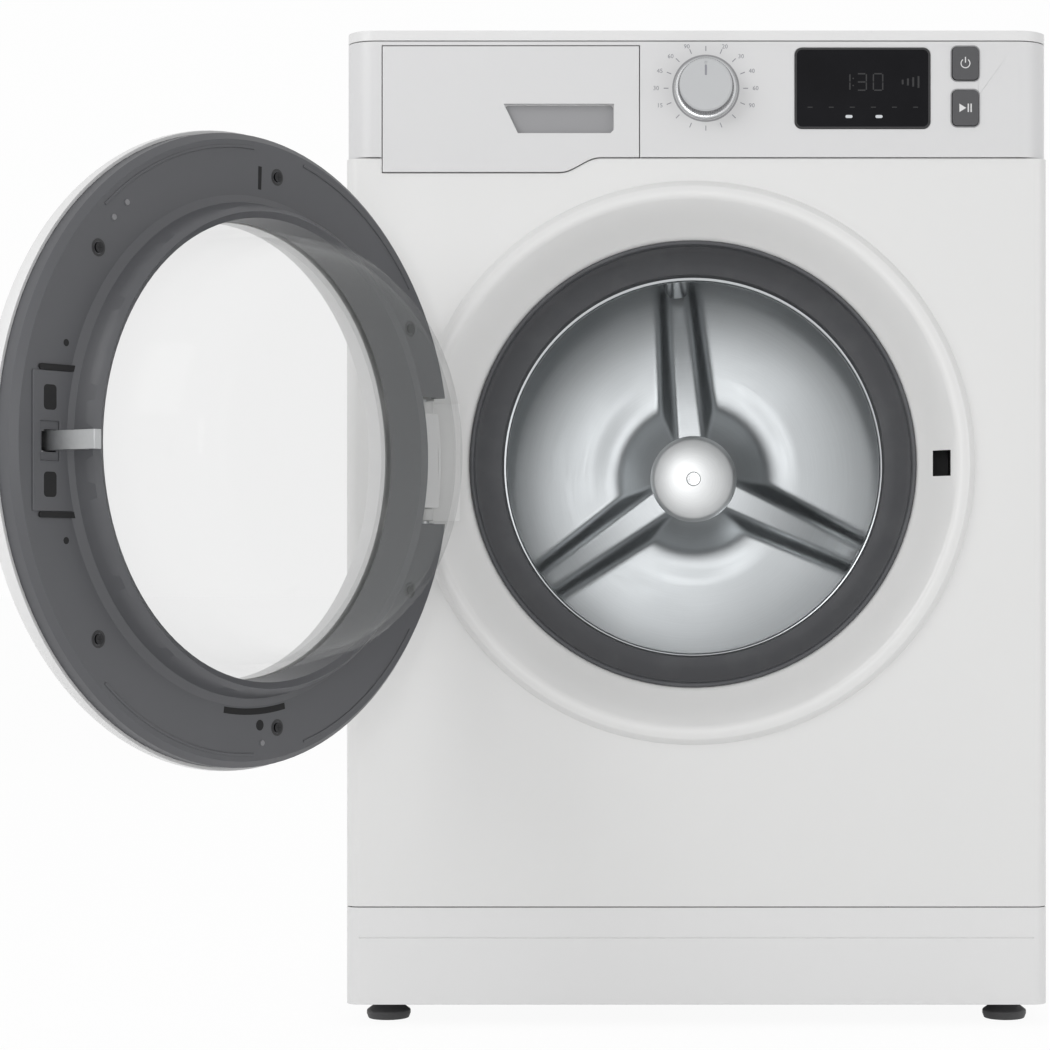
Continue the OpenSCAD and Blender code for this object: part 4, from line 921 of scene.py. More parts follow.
class Draft:
    """A mesh under construction."""

    def __init__(self) -> None:
        """Start with no faces."""
        self.bm = bmesh.new()

    def ring(self, outline: Sequence[PlanePoint], y: float) -> Ring:
        """Add the points of an outline drawn in X and Z, in mm, all at one depth."""
        return [self.bm.verts.new(mm(x, y, z)) for x, z in outline]

    def skin(self, rings: list[Ring], close: bool = False) -> "Draft":
        """Join neighbouring rings with faces.

        Args:
            rings: Rings of equally many points.
            close: Join the last ring to the first.

        Returns:
            This draft.
        """
        for first, second in zip(rings, rings[1:] + (rings[:1] if close else [])):
            for k in range(len(first)):
                n = (k + 1) % len(first)
                self.bm.faces.new((first[k], first[n], second[n], second[k]))
        return self

    def capped(self, first: Ring, last: Ring) -> "Draft":
        """Close the two ends of a skin.

        Args:
            first: Ring whose order stays.
            last: Ring whose order is turned round.

        Returns:
            This draft.
        """
        self.bm.faces.new(first)
        self.bm.faces.new(list(reversed(last)))
        return self

    def revolve(self, line: Sequence[PlanePoint], steps: int = 128, close: bool = False) -> "Draft":
        """Turn a line of (radius, depth) points, in mm, around the porthole's axis.

        Args:
            line: Points of the line, with depths from the front panel.
            steps: Steps round the circle.
            close: Join the last point to the first.

        Returns:
            This draft.
        """
        turns = [2 * math.pi * k / steps for k in range(steps)]
        rings = []
        for r, depth in line:
            spots = [PORT + Vector(mm(r * math.cos(a), depth, r * math.sin(a))) for a in turns]
            rings.append([self.bm.verts.new(spot) for spot in spots])
        return self.skin(rings, close)

    def prism(self, outline: Sequence[PlanePoint], y0: float, y1: float) -> "Draft":
        """Extrude an outline drawn in X and Z, in mm, from depth y0 to depth y1."""
        return self._block(self.ring(outline, y0), self.ring(outline, y1))

    def slab(self, plan: Sequence[PlanePoint], z0: float, z1: float) -> "Draft":
        """Extrude an outline drawn in X and Y, in mm, from height z0 to height z1.

        Args:
            plan: Points of the outline.
            z0: Height of the underside.
            z1: Height of the upper side.

        Returns:
            This draft.
        """
        under = [self.bm.verts.new(mm(x, y, z0)) for x, y in plan]
        over = [self.bm.verts.new(mm(x, y, z1)) for x, y in plan]
        return self._block(under, over)

    def _block(self, first: Ring, last: Ring) -> "Draft":
        """Close two matching rings into a block.

        Args:
            first: Ring of one end.
            last: Ring of the other end.

        Returns:
            This draft.
        """
        self.capped(first, last)
        for k in range(len(first)):
            n = (k + 1) % len(first)
            self.bm.faces.new((first[n], first[k], last[k], last[n]))
        return self

    def opened(self) -> "Draft":
        """Merge touching blocks and take away the walls between them.

        Returns:
            This draft.
        """
        bmesh.ops.remove_doubles(self.bm, verts=self.bm.verts, dist=1e-7)
        walls = [f for f in self.bm.faces if all(len(e.link_faces) > 2 for e in f.edges)]
        bmesh.ops.delete(self.bm, geom=walls, context="FACES")
        return self

    def box(self, low: Point, high: Point) -> "Draft":
        """Box between two corners in mm."""
        outline = [(low[0], low[2]), (high[0], low[2]), (high[0], high[2]), (low[0], high[2])]
        return self.prism(outline, low[1], high[1])

    def border(
        self, outer: Sequence[PlanePoint], inner: Sequence[PlanePoint], back: float, front: float
    ) -> "Draft":
        """Flat frame between two matching outlines.

        Args:
            outer: Points of the outer outline.
            inner: As many points of the inner outline.
            back: Depth of its back.
            front: Depth of its face.

        Returns:
            This draft.
        """
        lines = ((outer, back), (outer, front), (inner, front), (inner, back))
        return self.skin([self.ring(line, y) for line, y in lines], close=True)

    def mesh(
        self, name: str, bevel: float = 0.0, sharp: float = 35.0, segments: int = 2
    ) -> bpy.types.Mesh:
        """Finish the draft as a mesh with rounded edges and clean normals.

        Args:
            name: Name of the mesh.
            bevel: Width of the rounded edges in mm, 0 for none.
            sharp: Edges above this angle, in degrees, are rounded or kept sharp.
            segments: Steps across a rounded edge.

        Returns:
            The mesh.
        """
        bmesh.ops.remove_doubles(self.bm, verts=self.bm.verts, dist=1e-7)
        bmesh.ops.recalc_face_normals(self.bm, faces=self.bm.faces)
        return self.plain_mesh(name, bevel, sharp, segments)

    def plain_mesh(self, name: str, bevel: float, sharp: float, segments: int) -> bpy.types.Mesh:
        """Write the draft to a mesh without turning any face, then round and smooth it.

        Args:
            name: Name of the mesh.
            bevel: Width of the rounded edges in mm, 0 for none.
            sharp: Edges above this angle, in degrees, are rounded or kept sharp.
            segments: Steps across a rounded edge.

        Returns:
            The mesh.
        """
        mesh = bpy.data.meshes.new(name)
        limit = math.radians(sharp)
        for face in self.bm.faces:
            face.smooth = True
        for edge in self.bm.edges:
            edge.smooth = len(edge.link_faces) == 2 and edge.calc_face_angle(0) < limit
        self.bm.to_mesh(mesh)
        self.bm.free()
        if not bevel:
            return mesh
        holder = bpy.data.objects.new(name, mesh)
        bpy.context.scene.collection.objects.link(holder)
        rounder = holder.modifiers.new("rounder", "BEVEL")
        rounder.width = mm(bevel)
        rounder.segments = segments
        rounder.limit_method = "ANGLE"
        rounder.angle_limit = limit
        rounder.use_clamp_overlap = True
        rounder.face_strength_mode = "FSTR_ALL"
        evener = holder.modifiers.new("evener", "WEIGHTED_NORMAL")
        evener.keep_sharp = True
        evener.use_face_influence = True
        shown = holder.evaluated_get(bpy.context.evaluated_depsgraph_get())
        rounded = bpy.data.meshes.new_from_object(shown)
        bpy.data.objects.remove(holder)
        return rounded


# Two faces lie in one flat when the cosine of the angle between them is above this
SAME_PLANE = 0.99998
# A flat with more edges than this round it keeps its loose triangles
LONGEST_RIM = 100


def flat_regions(bm: bmesh.types.BMesh) -> list[list[bmesh.types.BMFace]]:
    """Find the flats that loose triangles make up.

    Args:
        bm: The mesh.

    Returns:
        The faces of each flat that has more than one.
    """
    seen: set[bmesh.types.BMFace] = set()
    regions = []
    for seed in bm.faces:
        if seed in seen:
            continue
        seen.add(seed)
        region, open_ends = [seed], [seed]
        while open_ends:
            face = open_ends.pop()
            for other in (f for edge in face.edges for f in edge.link_faces):
                if other not in seen and other.normal.dot(seed.normal) > SAME_PLANE:
                    seen.add(other)
                    region.append(other)
                    open_ends.append(other)
        if len(region) > 1:
            regions.append(region)
    return regions


def count_loops(rim: set[bmesh.types.BMEdge]) -> int:
    """Count the separate loops that the edges round a flat make.

    Args:
        rim: The edges.

    Returns:
        One for a plain flat, more for a flat with holes.
    """
    left = set(rim)
    loops = 0
    while left:
        loops += 1
        ends = set(left.pop().verts)
        while ends:
            for edge in [e for e in ends.pop().link_edges if e in left]:
                left.discard(edge)
                ends.update(edge.verts)
    return loops


def join_flats(bm: bmesh.types.BMesh) -> None:
    """Join the loose triangles of each flat, unless it has a hole in it or a very long rim.

    Args:
        bm: The mesh, changed in place.
    """
    bm.edges.index_update()
    loose = []
    for region in flat_regions(bm):
        inside = set(region)
        edges = {e for f in region for e in f.edges}
        rim = {e for e in edges if sum(g in inside for g in e.link_faces) == 1}
        if len(rim) <= LONGEST_RIM and count_loops(rim) == 1:
            loose.extend(edges - rim)
    loose.sort(key=lambda edge: edge.index)
    bmesh.ops.dissolve_edges(bm, edges=loose, use_verts=False)


def refined(node: str, bevel: float = 0.0, sharp: float = 30.0, segments: int = 2) -> bpy.types.Mesh:
    """Smooth copy of a CAD node, with its loose triangles joined.

    Args:
        node: Name of the node.
        bevel: Width of the rounded edges in mm, 0 for none.
        sharp: Edges above this angle are rounded or kept sharp.
        segments: Steps across a rounded edge.

    Returns:
        The mesh.
    """
    draft = Draft()
    draft.bm.from_mesh(frame["nodes"][node].data)
    bmesh.ops.remove_doubles(draft.bm, verts=draft.bm.verts, dist=2e-6)
    bmesh.ops.dissolve_degenerate(draft.bm, edges=draft.bm.edges, dist=1e-6)
    join_flats(draft.bm)
    return draft.plain_mesh(node, bevel, sharp, segments)


def body_of_node(node: str) -> str:
    """Body that a CAD node belongs to."""
    bodies = frame["record"]["behaviour"]["bodies"]
    return next(body for body, members in bodies.items() if node in members)


def slot_of_node(node: str) -> str:
    """The record's material slot of a CAD node."""
    parts = frame["record"]["subparts"]
    return next(part["material_slot"] for part in parts if part["node"] == node)


@dataclass
class Dressing:
    """Finishes of the CAD nodes that stay, and smooth copies of those whose curves show."""

    rounded: dict[str, float] = field(
        default_factory=lambda: {
            "front_panel": 0.3,
            "control_fascia": 0.5,
            "worktop": 0.8,
            "kick_panel": 0.6,
            "drawer_front": 0.8,
            "door_outer_ring": 0.3,
            "door_inner_frame": 0.5,
            "door_glass": 0.6,
            "programme_knob": 0.5,
            "power_button": 0.5,
            "start_button": 0.5,
            "display_window": 0.4,
            "hinge_arm": 0.5,
            "hinge_bracket": 0.4,
            "latch_hook": 0.4,
            "foot_pads": 0.6,
            "transit_plugs": 0.5,
            "cord_gland": 0.5,
        }
    )
    special: dict[str, Finish] = field(
        default_factory=lambda: {
            "programme_knob": KNOB_PLASTIC,
            "power_button": BUTTON_PLASTIC,
            "start_button": BUTTON_PLASTIC,
            "rear_panel": REAR_STEEL,
            "rear_cover": REAR_STEEL,
            "tub_springs": SPRING_STEEL,
            "hinge_arm": WHITE_PLASTIC,
            "door_screws": BLACK_ZINC,
            "control_fascia": FASCIA_SHADE_PLASTIC,
            "drawer_front": FASCIA_SHADE_PLASTIC,
            "foot_pads": FOOT_RUBBER,
        }
    )

    def finish_of(self, node: str) -> Finish:
        """Finish of a CAD node."""
        return self.special.get(node) or SLOT_FINISH[slot_of_node(node)]

    def build(self) -> None:
        """Dress every CAD node, and replace the rounded ones by their smooth copies."""
        for node, shown in frame["nodes"].items():
            finish = self.finish_of(node)
            if not shown.material_slots:
                shown.data.materials.append(finish.material())
            for place in shown.material_slots:
                place.material = finish.material()
            if node in self.rounded:
                mesh = refined(node, self.rounded[node])
                smooth = piece(f"{node}_fine", mesh, body_of_node(node), slot_of_node(node), finish)
                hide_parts(node)


@dataclass
class CabinetDetails:
    """Ledges that close the front's corners under the fascia, and the crosses of the rear screws."""

    corner: float = 12.0
    reach: float = 26.5
    depth: float = 25.0
    sheet: float = 1.0
    gap: float = 0.2
    slot_length: float = 4.6
    slot_width: float = 1.0
    slot_sunk: float = 0.4
    slot_proud: float = 0.04

    def build(self) -> None:
        """Make the cabinet's small pieces."""
        piece("corner_ledges", self._ledges(), "cabinet", "white_enamel", WHITE_ENAMEL)
        piece("rear_screw_slots", self._slots(), "cabinet", "zinc_steel", PAINTED_HOLE_SHADE)

    def _ledges(self) -> bpy.types.Mesh:
        """Flat ledges at the top of the front's two round corners.

        Returns:
            The mesh.
        """
        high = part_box("front_panel")[1]
        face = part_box("kick_panel")[0].y * 1000
        half, top = high.x * 1000, high.z * 1000 - self.gap
        r = self.corner - self.gap
        draft = Draft()
        for side in (-1, 1):
            plan = [(side * (half - self.gap), face + self.depth)]
            for a in (math.radians(90 * k / 8) for k in range(9)):
                across = half - self.corner + r * math.cos(a)
                plan.append((side * across, face + self.corner - r * math.sin(a)))
            plan.append((side * (half - self.reach), face + self.gap))
            plan.append((side * (half - self.reach), face + self.depth))
            draft.slab(plan, top - self.sheet, top)
        return draft.mesh("corner_ledges", 0.15)

    @staticmethod
    def _screw_heads() -> list[list[Vector]]:
        """Find the separate screws of the rear cover and the worktop.

        Returns:
            The points of each screw, in mm.
        """
        screws = bmesh.new()
        screws.from_mesh(frame["nodes"]["cabinet_screws"].data)
        bmesh.ops.remove_doubles(screws, verts=screws.verts, dist=2e-6)
        seen: set[bmesh.types.BMVert] = set()
        heads = []
        for seed in screws.verts:
            if seed in seen:
                continue
            seen.add(seed)
            head, open_ends = [], [seed]
            while open_ends:
                vert = open_ends.pop()
                head.append(vert.co * 1000)
                for other in (edge.other_vert(vert) for edge in vert.link_edges):
                    if other not in seen:
                        seen.add(other)
                        open_ends.append(other)
            heads.append(head)
        screws.free()
        return heads

    def _slots(self) -> bpy.types.Mesh:
        """Cross slots in the heads of those screws: black bars that paint the shade inside them.

        Returns:
            The mesh.
        """
        draft = Draft()
        for head in self._screw_heads():
            x = (min(v.x for v in head) + max(v.x for v in head)) / 2
            z = (min(v.z for v in head) + max(v.z for v in head)) / 2
            y = max(v.y for v in head)
            for w, h in ((self.slot_length, self.slot_width), (self.slot_width, self.slot_length)):
                low = (x - w / 2, y - self.slot_sunk, z - h / 2)
                draft.box(low, (x + w / 2, y + self.slot_proud, z + h / 2))
        return draft.mesh("rear_screw_slots")


@dataclass
class SoftLinks:
    """Hoses and springs that hold the cabinet at one end and the moving tub at the other."""

    held_low: tuple[str, ...] = ("sump_hose",)
    held_high: tuple[str, ...] = ("dispenser_hose", "tub_springs")
    grip: float = 14.0

    def build(self) -> None:
        """Replace each link by a smooth copy, left on no body; the heights where it would give way are worked out
        but not used.
        """
        for node in self.held_low + self.held_high:
            low, high = (Vector(corner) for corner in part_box(node))
            start = Vector((0, 0, low.z + mm(self.grip)))
            end = Vector((0, 0, high.z - mm(self.grip)))
            if node in self.held_high:
                start, end = end, start
            finish = Dressing().finish_of(node)
            reach = Reach("tub", tuple(start), tuple(end))
            link = piece(f"{node}_fine", refined(node), "cabinet", slot_of_node(node), finish, reach)
            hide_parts(node)


# ---------------------------------------------------------------- gasket


@dataclass
class Gasket:
    """Rubber bellows of the porthole: front lip, drain groove, folded throat and mouth bead."""

    wall: float = 3.5
    lip: float = 192.7
    groove: float = 201.0
    throat: float = 171.7
    front: float = 22.0
    back: float = 96.0
    front_grip: float = 20.0
    back_grip: float = 6.0
    drain_holes: int = 3
    drain_pitch: float = 9.0
    drain_depth: float = 36.2
    drain_size: float = 3.4

    def build(self) -> None:
        """Make the gasket's pieces, left on no body; the depths where the throat would turn over to the tub are
        worked out but not used.
        """
        start = mm(0, FRONT + self.front + self.front_grip, 0)
        end = mm(0, FRONT + self.back - self.back_grip, 0)
        fold = Reach("tub", start, end)
        bellows = piece("gasket_bellows", self._bellows(), "cabinet", "grey_rubber", GREY_RUBBER, fold)
        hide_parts("door_gasket")
        piece("gasket_drain_holes", self._drains(), "cabinet", "grey_rubber", PAINTED_HOLE_SHADE, fold)

    @staticmethod
    def _bead(radius: float, depth: float, size: float, start: float) -> list[PlanePoint]:
        """Points of a rounded edge, half a turn from an angle in degrees."""
        angles = [math.radians(start + 180 * k / 6) for k in range(7)]
        return [(radius + size * math.cos(a), depth + size * math.sin(a)) for a in angles]

    def _bellows(self) -> bpy.types.Mesh:
        """Revolve the section of the rubber: rounded lip, outer line, rounded mouth, inner line.

        Returns:
            The mesh.
        """
        half = self.wall / 2
        lip, mouth = self.lip - half, self.throat - half
        g, t, f, b = self.groove, self.throat, self.front, self.back
        outer = [
            (self.lip, f + 15), (self.lip + 2.3, f + 23), (g - 1.2, f + 27.6), (g, f + 30.5),
            (g, f + 42), (g - 1.4, f + 45.2), (g - 8, f + 50.4), (g - 12, f + 51.4),
            (t + 8, f + 52), (t + 2, f + 52.8), (t, f + 55.5),
        ]
        inner = [
            (mouth - half, b - 6), (mouth - half - 0.9, b - 8), (mouth - half, b - 10),
            (mouth - half, f + 60), (mouth - half + 0.8, f + 57.2), (mouth - half, f + 54.4),
            (mouth - half + 0.4, f + 50.4), (mouth + 3, f + 48.8), (mouth + 9, f + 48.2),
            (g - 13.5, f + 47.8), (g - 9.4, f + 46.6), (g - 4.4, f + 42.6), (g - 3.5, f + 40.6),
            (g - 3.5, f + 31.6), (g - 4.6, f + 29.6), (lip + 0.7, f + 25.0),
            (lip - half, f + 15), (lip - half - 0.7, f + 10), (lip - half, f + 6),
        ]
        front_bead = self._bead(lip, f + half, half, 180)
        back_bead = self._bead(mouth, b - half, half, 0)
        line = front_bead + outer + back_bead + inner
        return Draft().revolve(line, 160, close=True).mesh("gasket_bellows", sharp=60)

    def _drains(self) -> bpy.types.Mesh:
        """Long drain holes in the floor of the groove, drawn as black blobs that paint the shade inside them.

        Returns:
            The mesh.
        """
        draft = Draft()
        depth = self.front + self.drain_depth
        radius = self.groove - self.wall - 0.15
        turns = [2 * math.pi * n / 20 for n in range(20)]
        for k in range(self.drain_holes):
            out, side = directions(270 + (k - (self.drain_holes - 1) / 2) * self.drain_pitch)
            rings = [
                [
                    draft.bm.verts.new(
                        PORT
                        + out * mm(level)
                        + side * mm(size * 1.7 * math.cos(t))
                        + Vector(mm(0, depth + size * math.sin(t), 0))
                    )
                    for t in turns
                ]
                for size, level in ((self.drain_size, radius), (self.drain_size - 0.4, radius + 0.9))
            ]
            draft.skin(rings).capped(rings[1], rings[0])
        return draft.mesh("gasket_drain_holes", sharp=40)


# ---------------------------------------------------------------- drum


@dataclass
class Drum:
    """Stainless drum: perforated wall, pressed star in its back, lifters and centre cap."""

    radius: float = 238.0
    mouth: float = 166.0
    front: float = 105.0
    back: float = 435.0
    sheet: float = 0.95
    hub: float = 9.0
    star_radius: float = 74.0
    star_height: float = 16.0
    arms: tuple[float, ...] = (-25.0, 95.0, 215.0)
    cap_radius: float = 42.0
    cap_rise: float = 4.2
    hole_radius: float = 1.7
    hole_pitch: float = 17.0
    hole_rows: int = 17
    eyelet_wire: float = 0.42
    lifter_seat: float = 236.6
    lifter_foot: float = 2.4
    lifter_room: float = 0.165
    rain_hole_radius: float = 2.2
    rain_holes: int = 9

    def build(self) -> None:
        """Make the drum's pieces."""
        wall = piece("drum_wall", self._wall(), "drum", "stainless_steel", DRUM_STEEL)
        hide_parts("drum_shell")
        piece("drum_back_star", self._star_back(), "drum", "stainless_steel", BACK_STEEL_SHADE)
        piece("drum_holes", self._holes(), "drum", "stainless_steel")
        lifters = piece("drum_lifters_fine", self._lifters(), "drum", "stainless_steel", LIFTER_STEEL)
        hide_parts("drum_lifters")
        piece("lifter_holes", self._lifter_holes(), "drum", "stainless_steel")
        piece("drum_centre_cap", self._cap(), "drum", "stainless_steel", CAP_STEEL_HIGHLIGHT)
        piece("drum_cap_screw", self._cap_screw(), "drum", "stainless_steel", SATIN_CHROME)

    def _wall(self) -> bpy.types.Mesh:
        """Front ring, wall and rounded back edge of the drum as one sheet with its thickness.

        Returns:
            The mesh.
        """
        m, r, f, b = self.mouth, self.radius, self.front, self.back
        outer = [
            (m + 6, f + 9), (m + 1.5, f + 8), (m, f + 6), (m, f + 2), (m + 1.5, f + 0.4), (m + 5, f),
            (m + 22, f + 1.2), (m + 24, f + 3.2), (m + 34, f + 3.8), (m + 37, f + 2.4),
            (r - 10, f + 4), (r - 4, f + 6), (r - 1, f + 9), (r, f + 13),
            (r, f + 22), (r - 1.2, f + 24), (r - 1.2, f + 27), (r, f + 29),
            (r, b - 29), (r - 1.2, b - 27), (r - 1.2, b - 24), (r, b - 22),
            (r, b - 10), (r - 1, b - 5), (r - 4, b - 2), (r - 10, b),
        ]
        inner = [(m + 6, f + 9.8)]
        for x, depth in outer[5:-4]:
            on_face, on_wall = x <= r - 4, x > m + 40
            inner.append((x - self.sheet if on_wall else x, depth + self.sheet if on_face else depth))
        inner += [(r - 1, b - 10), (r - 2, b - 5.6), (r - 4.6, b - 2.9), (r - 10, b - 1)]
        return Draft().revolve(outer + inner[::-1], 144, close=True).mesh("drum_wall", sharp=50)

    @staticmethod
    def _arm(g: GeometryTree, radius: Value, off: Value) -> Value:
        """Relief of one arm: highest at the hub, lower and narrower towards the wall.

        Args:
            g: The tree of the back sheet.
            radius: Distance from the drum's axis, in metres.
            off: Angle from the middle of the arm.

        Returns:
            The arm's height, zero beside it.
        """
        along, side = radius * off.cosine(), abs(radius * off.sine())
        fall = 1 - along.step(*mm(30, 214)) * 0.55
        end = 1 - along.step(*mm(185, 216))
        crest = fall * end * (along > 0.0)
        half_width = mm(36) - along * 0.06
        return g.size("Height") * crest * (1 - (side / half_width).step(0.3, 1.0))

    def _star_back(self) -> bpy.types.Mesh:
        """Back sheet whose relief follows one rule: a dome, three arms, a ring groove and dished fields.

        Returns:
            The mesh.
        """
        sizes = {
            "Radius": mm(self.radius - 9.9),
            "Hub": mm(self.hub),
            "Height": mm(self.star_height),
            "Cone": mm(self.star_radius),
        }
        g = GeometryTree("drum_back_star", sizes)
        across, around = g.spread()
        radius = g.size("Hub") + (g.size("Radius") - g.size("Hub")) * across
        angle = around * (2 * math.pi)
        share = radius / (g.size("Cone") + mm(4))
        dome = (1 - share * share) * (g.size("Height") + mm(1.2))
        height = g.math("SMOOTH_MAX", dome, 0.0, mm(6))
        for arm in self.arms:
            rise = self._arm(g, radius, angle - math.radians(arm))
            height = g.math("SMOOTH_MAX", height, rise, mm(4))
        height = height - mm(1.4) * radius.between(*mm(216.5, 221.5, 1.2))
        sway = 0.5 - 0.5 * (angle * len(self.arms) - math.radians(285)).cosine()
        dish = mm(1.8) * radius.between(*mm(95, 190, 12)) * sway
        depth = PORT.y + mm(self.back - 1.05) - height - dish
        place = g.vector(radius * angle.cosine() + PORT.x, depth, radius * angle.sine() + PORT.z)
        sheet = g.moved(g.grid(74, 289), place)
        sheet = g.node("GeometryNodeMergeByDistance", None, {"Geometry": sheet, "Distance": 1e-6})
        mesh = g.result(g.dressed(g.smooth(sheet), BACK_STEEL_SHADE.material()))
        if sum(p.normal.y for p in mesh.polygons) > 0:
            mesh.flip_normals()
        return mesh

    def _eyelet(self, g: GeometryTree, radius: Value) -> Value:
        """One punched hole: a black disc that paints the shade inside it, and a rolled rim that catches the light.

        Args:
            g: The tree that it goes into.
            radius: Radius of the hole.

        Returns:
            The hole, facing along Z.
        """
        filled = {"fill_type": "NGON"}
        floor = g.node("GeometryNodeMeshCircle", filled, {"Vertices": 12, "Radius": radius})
        ring = g.node("GeometryNodeCurvePrimitiveCircle", None, {"Resolution": 12, "Radius": radius})
        wire = {"Resolution": 4, "Radius": mm(self.eyelet_wire)}
        section = g.node("GeometryNodeCurvePrimitiveCircle", None, wire)
        rim = g.node("GeometryNodeCurveToMesh", None, {"Curve": ring, "Profile Curve": section})
        dark, bright = PAINTED_HOLE_SHADE.material(), DRUM_STEEL.material()
        return g.joined(g.dressed(floor, dark), g.dressed(g.smooth(rim), bright))

    def _holes(self) -> bpy.types.Mesh:
        """Punched holes over the drum wall, in staggered rows that leave the lifters free.

        Returns:
            The mesh.
        """
        rows = self.hole_rows
        columns = int(2 * math.pi * self.radius / self.hole_pitch)
        sizes = {
            "Wall": mm(self.radius - 1.1),
            "Hole": mm(self.hole_radius),
            "From": mm(self.front + 36),
            "To": mm(self.back - 36),
        }
        g = GeometryTree("drum_holes", sizes)
        x, y = g.spread()
        stagger = (y * ((rows - 1) * math.pi / 2)).sine()
        angle = (x * columns + stagger * stagger * 0.5) * (2 * math.pi / columns)
        wall = g.size("Wall")
        depth = PORT.y + (g.size("From") + (g.size("To") - g.size("From")) * y)
        place = g.vector(wall * angle.cosine() + PORT.x, depth, wall * angle.sine() + PORT.z)
        near = (angle - math.radians(self.arms[0])).cosine()
        for arm in self.arms[1:]:
            near = near.most((angle - math.radians(arm)).cosine())
        grid = {"Mesh": g.grid(columns, rows), "Radius": 0.001}
        points = g.moved(g.node("GeometryNodeMeshToPoints", None, grid), place)
        under_lifter = near > math.cos(self.lifter_room)
        points = g.node("GeometryNodeDeleteGeometry", {"domain": "POINT"}, {0: points, 1: under_lifter})
        out_x, _, out_z = g.parts(g.node("GeometryNodeInputPosition"))
        turn = g.facing(g.vector(PORT.x - out_x, 0.0, PORT.z - out_z))
        return g.result(g.copies(points, self._eyelet(g, g.size("Hole")), turn))

    def _lifters(self) -> bpy.types.Mesh:
        """Three lifters with sloped flanks, rounded crest and tapered ends.

        Returns:
            The mesh.
        """
        draft = Draft()
        seat, foot = self.lifter_seat, self.lifter_foot
        flank = [(34, foot), (33, 4.5), (24, 13), (15, 36), (11, 52), (7.5, 56.8), (3, 58)]
        section = [(-off, rise) for off, rise in flank] + flank[::-1]
        front_end = [(131.5, 0.30), (134, 0.62), (139, 0.85), (147, 0.97), (158, 1.0)]
        back_end = [(384, 1.0), (395, 0.97), (403, 0.85), (408, 0.62), (410.5, 0.30)]
        for arm in self.arms:
            out, side = directions(arm)
            rings = []
            for depth, share in front_end + back_end:
                ring = []
                for off, rise in section:
                    height = foot + (rise - foot) * share
                    across = off * (0.80 + 0.20 * share)
                    radial = min(seat - height, math.sqrt(seat * seat - across * across) - 0.3)
                    spot = (out * radial + side * across) / 1000 + Vector(mm(0, depth, 0))
                    ring.append(draft.bm.verts.new(PORT + spot))
                rings.append(ring)
            draft.skin(rings).capped(rings[0], rings[-1])
        return draft.mesh("drum_lifters_fine", bevel=1.2, sharp=48)

    def _lifter_holes(self) -> bpy.types.Mesh:
        """Rain holes along the flanks of the lifters.

        Returns:
            The mesh.
        """
        sizes = {"Hole": mm(self.rain_hole_radius), "First": mm(165), "Last": mm(377)}
        g = GeometryTree("lifter_holes", sizes)
        groups = []
        for arm in self.arms:
            out, side = directions(arm)
            for flank in (-1, 1):
                low = PORT + (out * (self.lifter_seat - 23) + side * 20.09 * flank) / 1000
                face = (-out * 0.364 + side * 0.931 * flank).normalized()
                _, y = g.spread()
                depth = g.size("First") + (g.size("Last") - g.size("First")) * y
                line = g.moved(g.grid(2, self.rain_holes), g.vector(low.x, PORT.y + depth, low.z))
                points = g.node("GeometryNodeMeshToPoints", None, {"Mesh": line, "Radius": 0.001})
                merged = {"Geometry": points, "Distance": 1e-4}
                points = g.node("GeometryNodeMergeByDistance", None, merged)
                turn = g.facing(g.vector(face.x, 0.0, face.z))
                groups.append(g.copies(points, self._eyelet(g, g.size("Hole")), turn))
        return g.result(g.joined(*groups))

    def _cap(self) -> bpy.types.Mesh:
        """Round cap over the end of the shaft in the middle of the star.

        Returns:
            The mesh.
        """
        r, tip = self.cap_radius, self.back - self.star_height - 2.2
        line = [(max(0.01, r * k / 12), tip - self.cap_rise * (1 - (k / 12) ** 2)) for k in range(13)]
        line += [(r + 1.1, tip + 0.6), (r + 1.3, tip + 1.8), (r + 0.7, tip + 5.0)]
        return Draft().revolve(line, 96).mesh("drum_centre_cap", sharp=50)

    def _cap_screw(self) -> bpy.types.Mesh:
        """Socket screw in the middle of the cap.

        Returns:
            The mesh.
        """
        tip = self.back - self.star_height - 2.2 - self.cap_rise
        line = [
            (0.01, tip + 1.6), (3.4, tip + 1.6), (3.6, tip - 1.2),
            (6.4, tip - 1.3), (7.2, tip - 0.6), (7.4, tip + 1.6),
        ]
        return Draft().revolve(line, 32).mesh("drum_cap_screw", sharp=40)


# ---------------------------------------------------------------- door


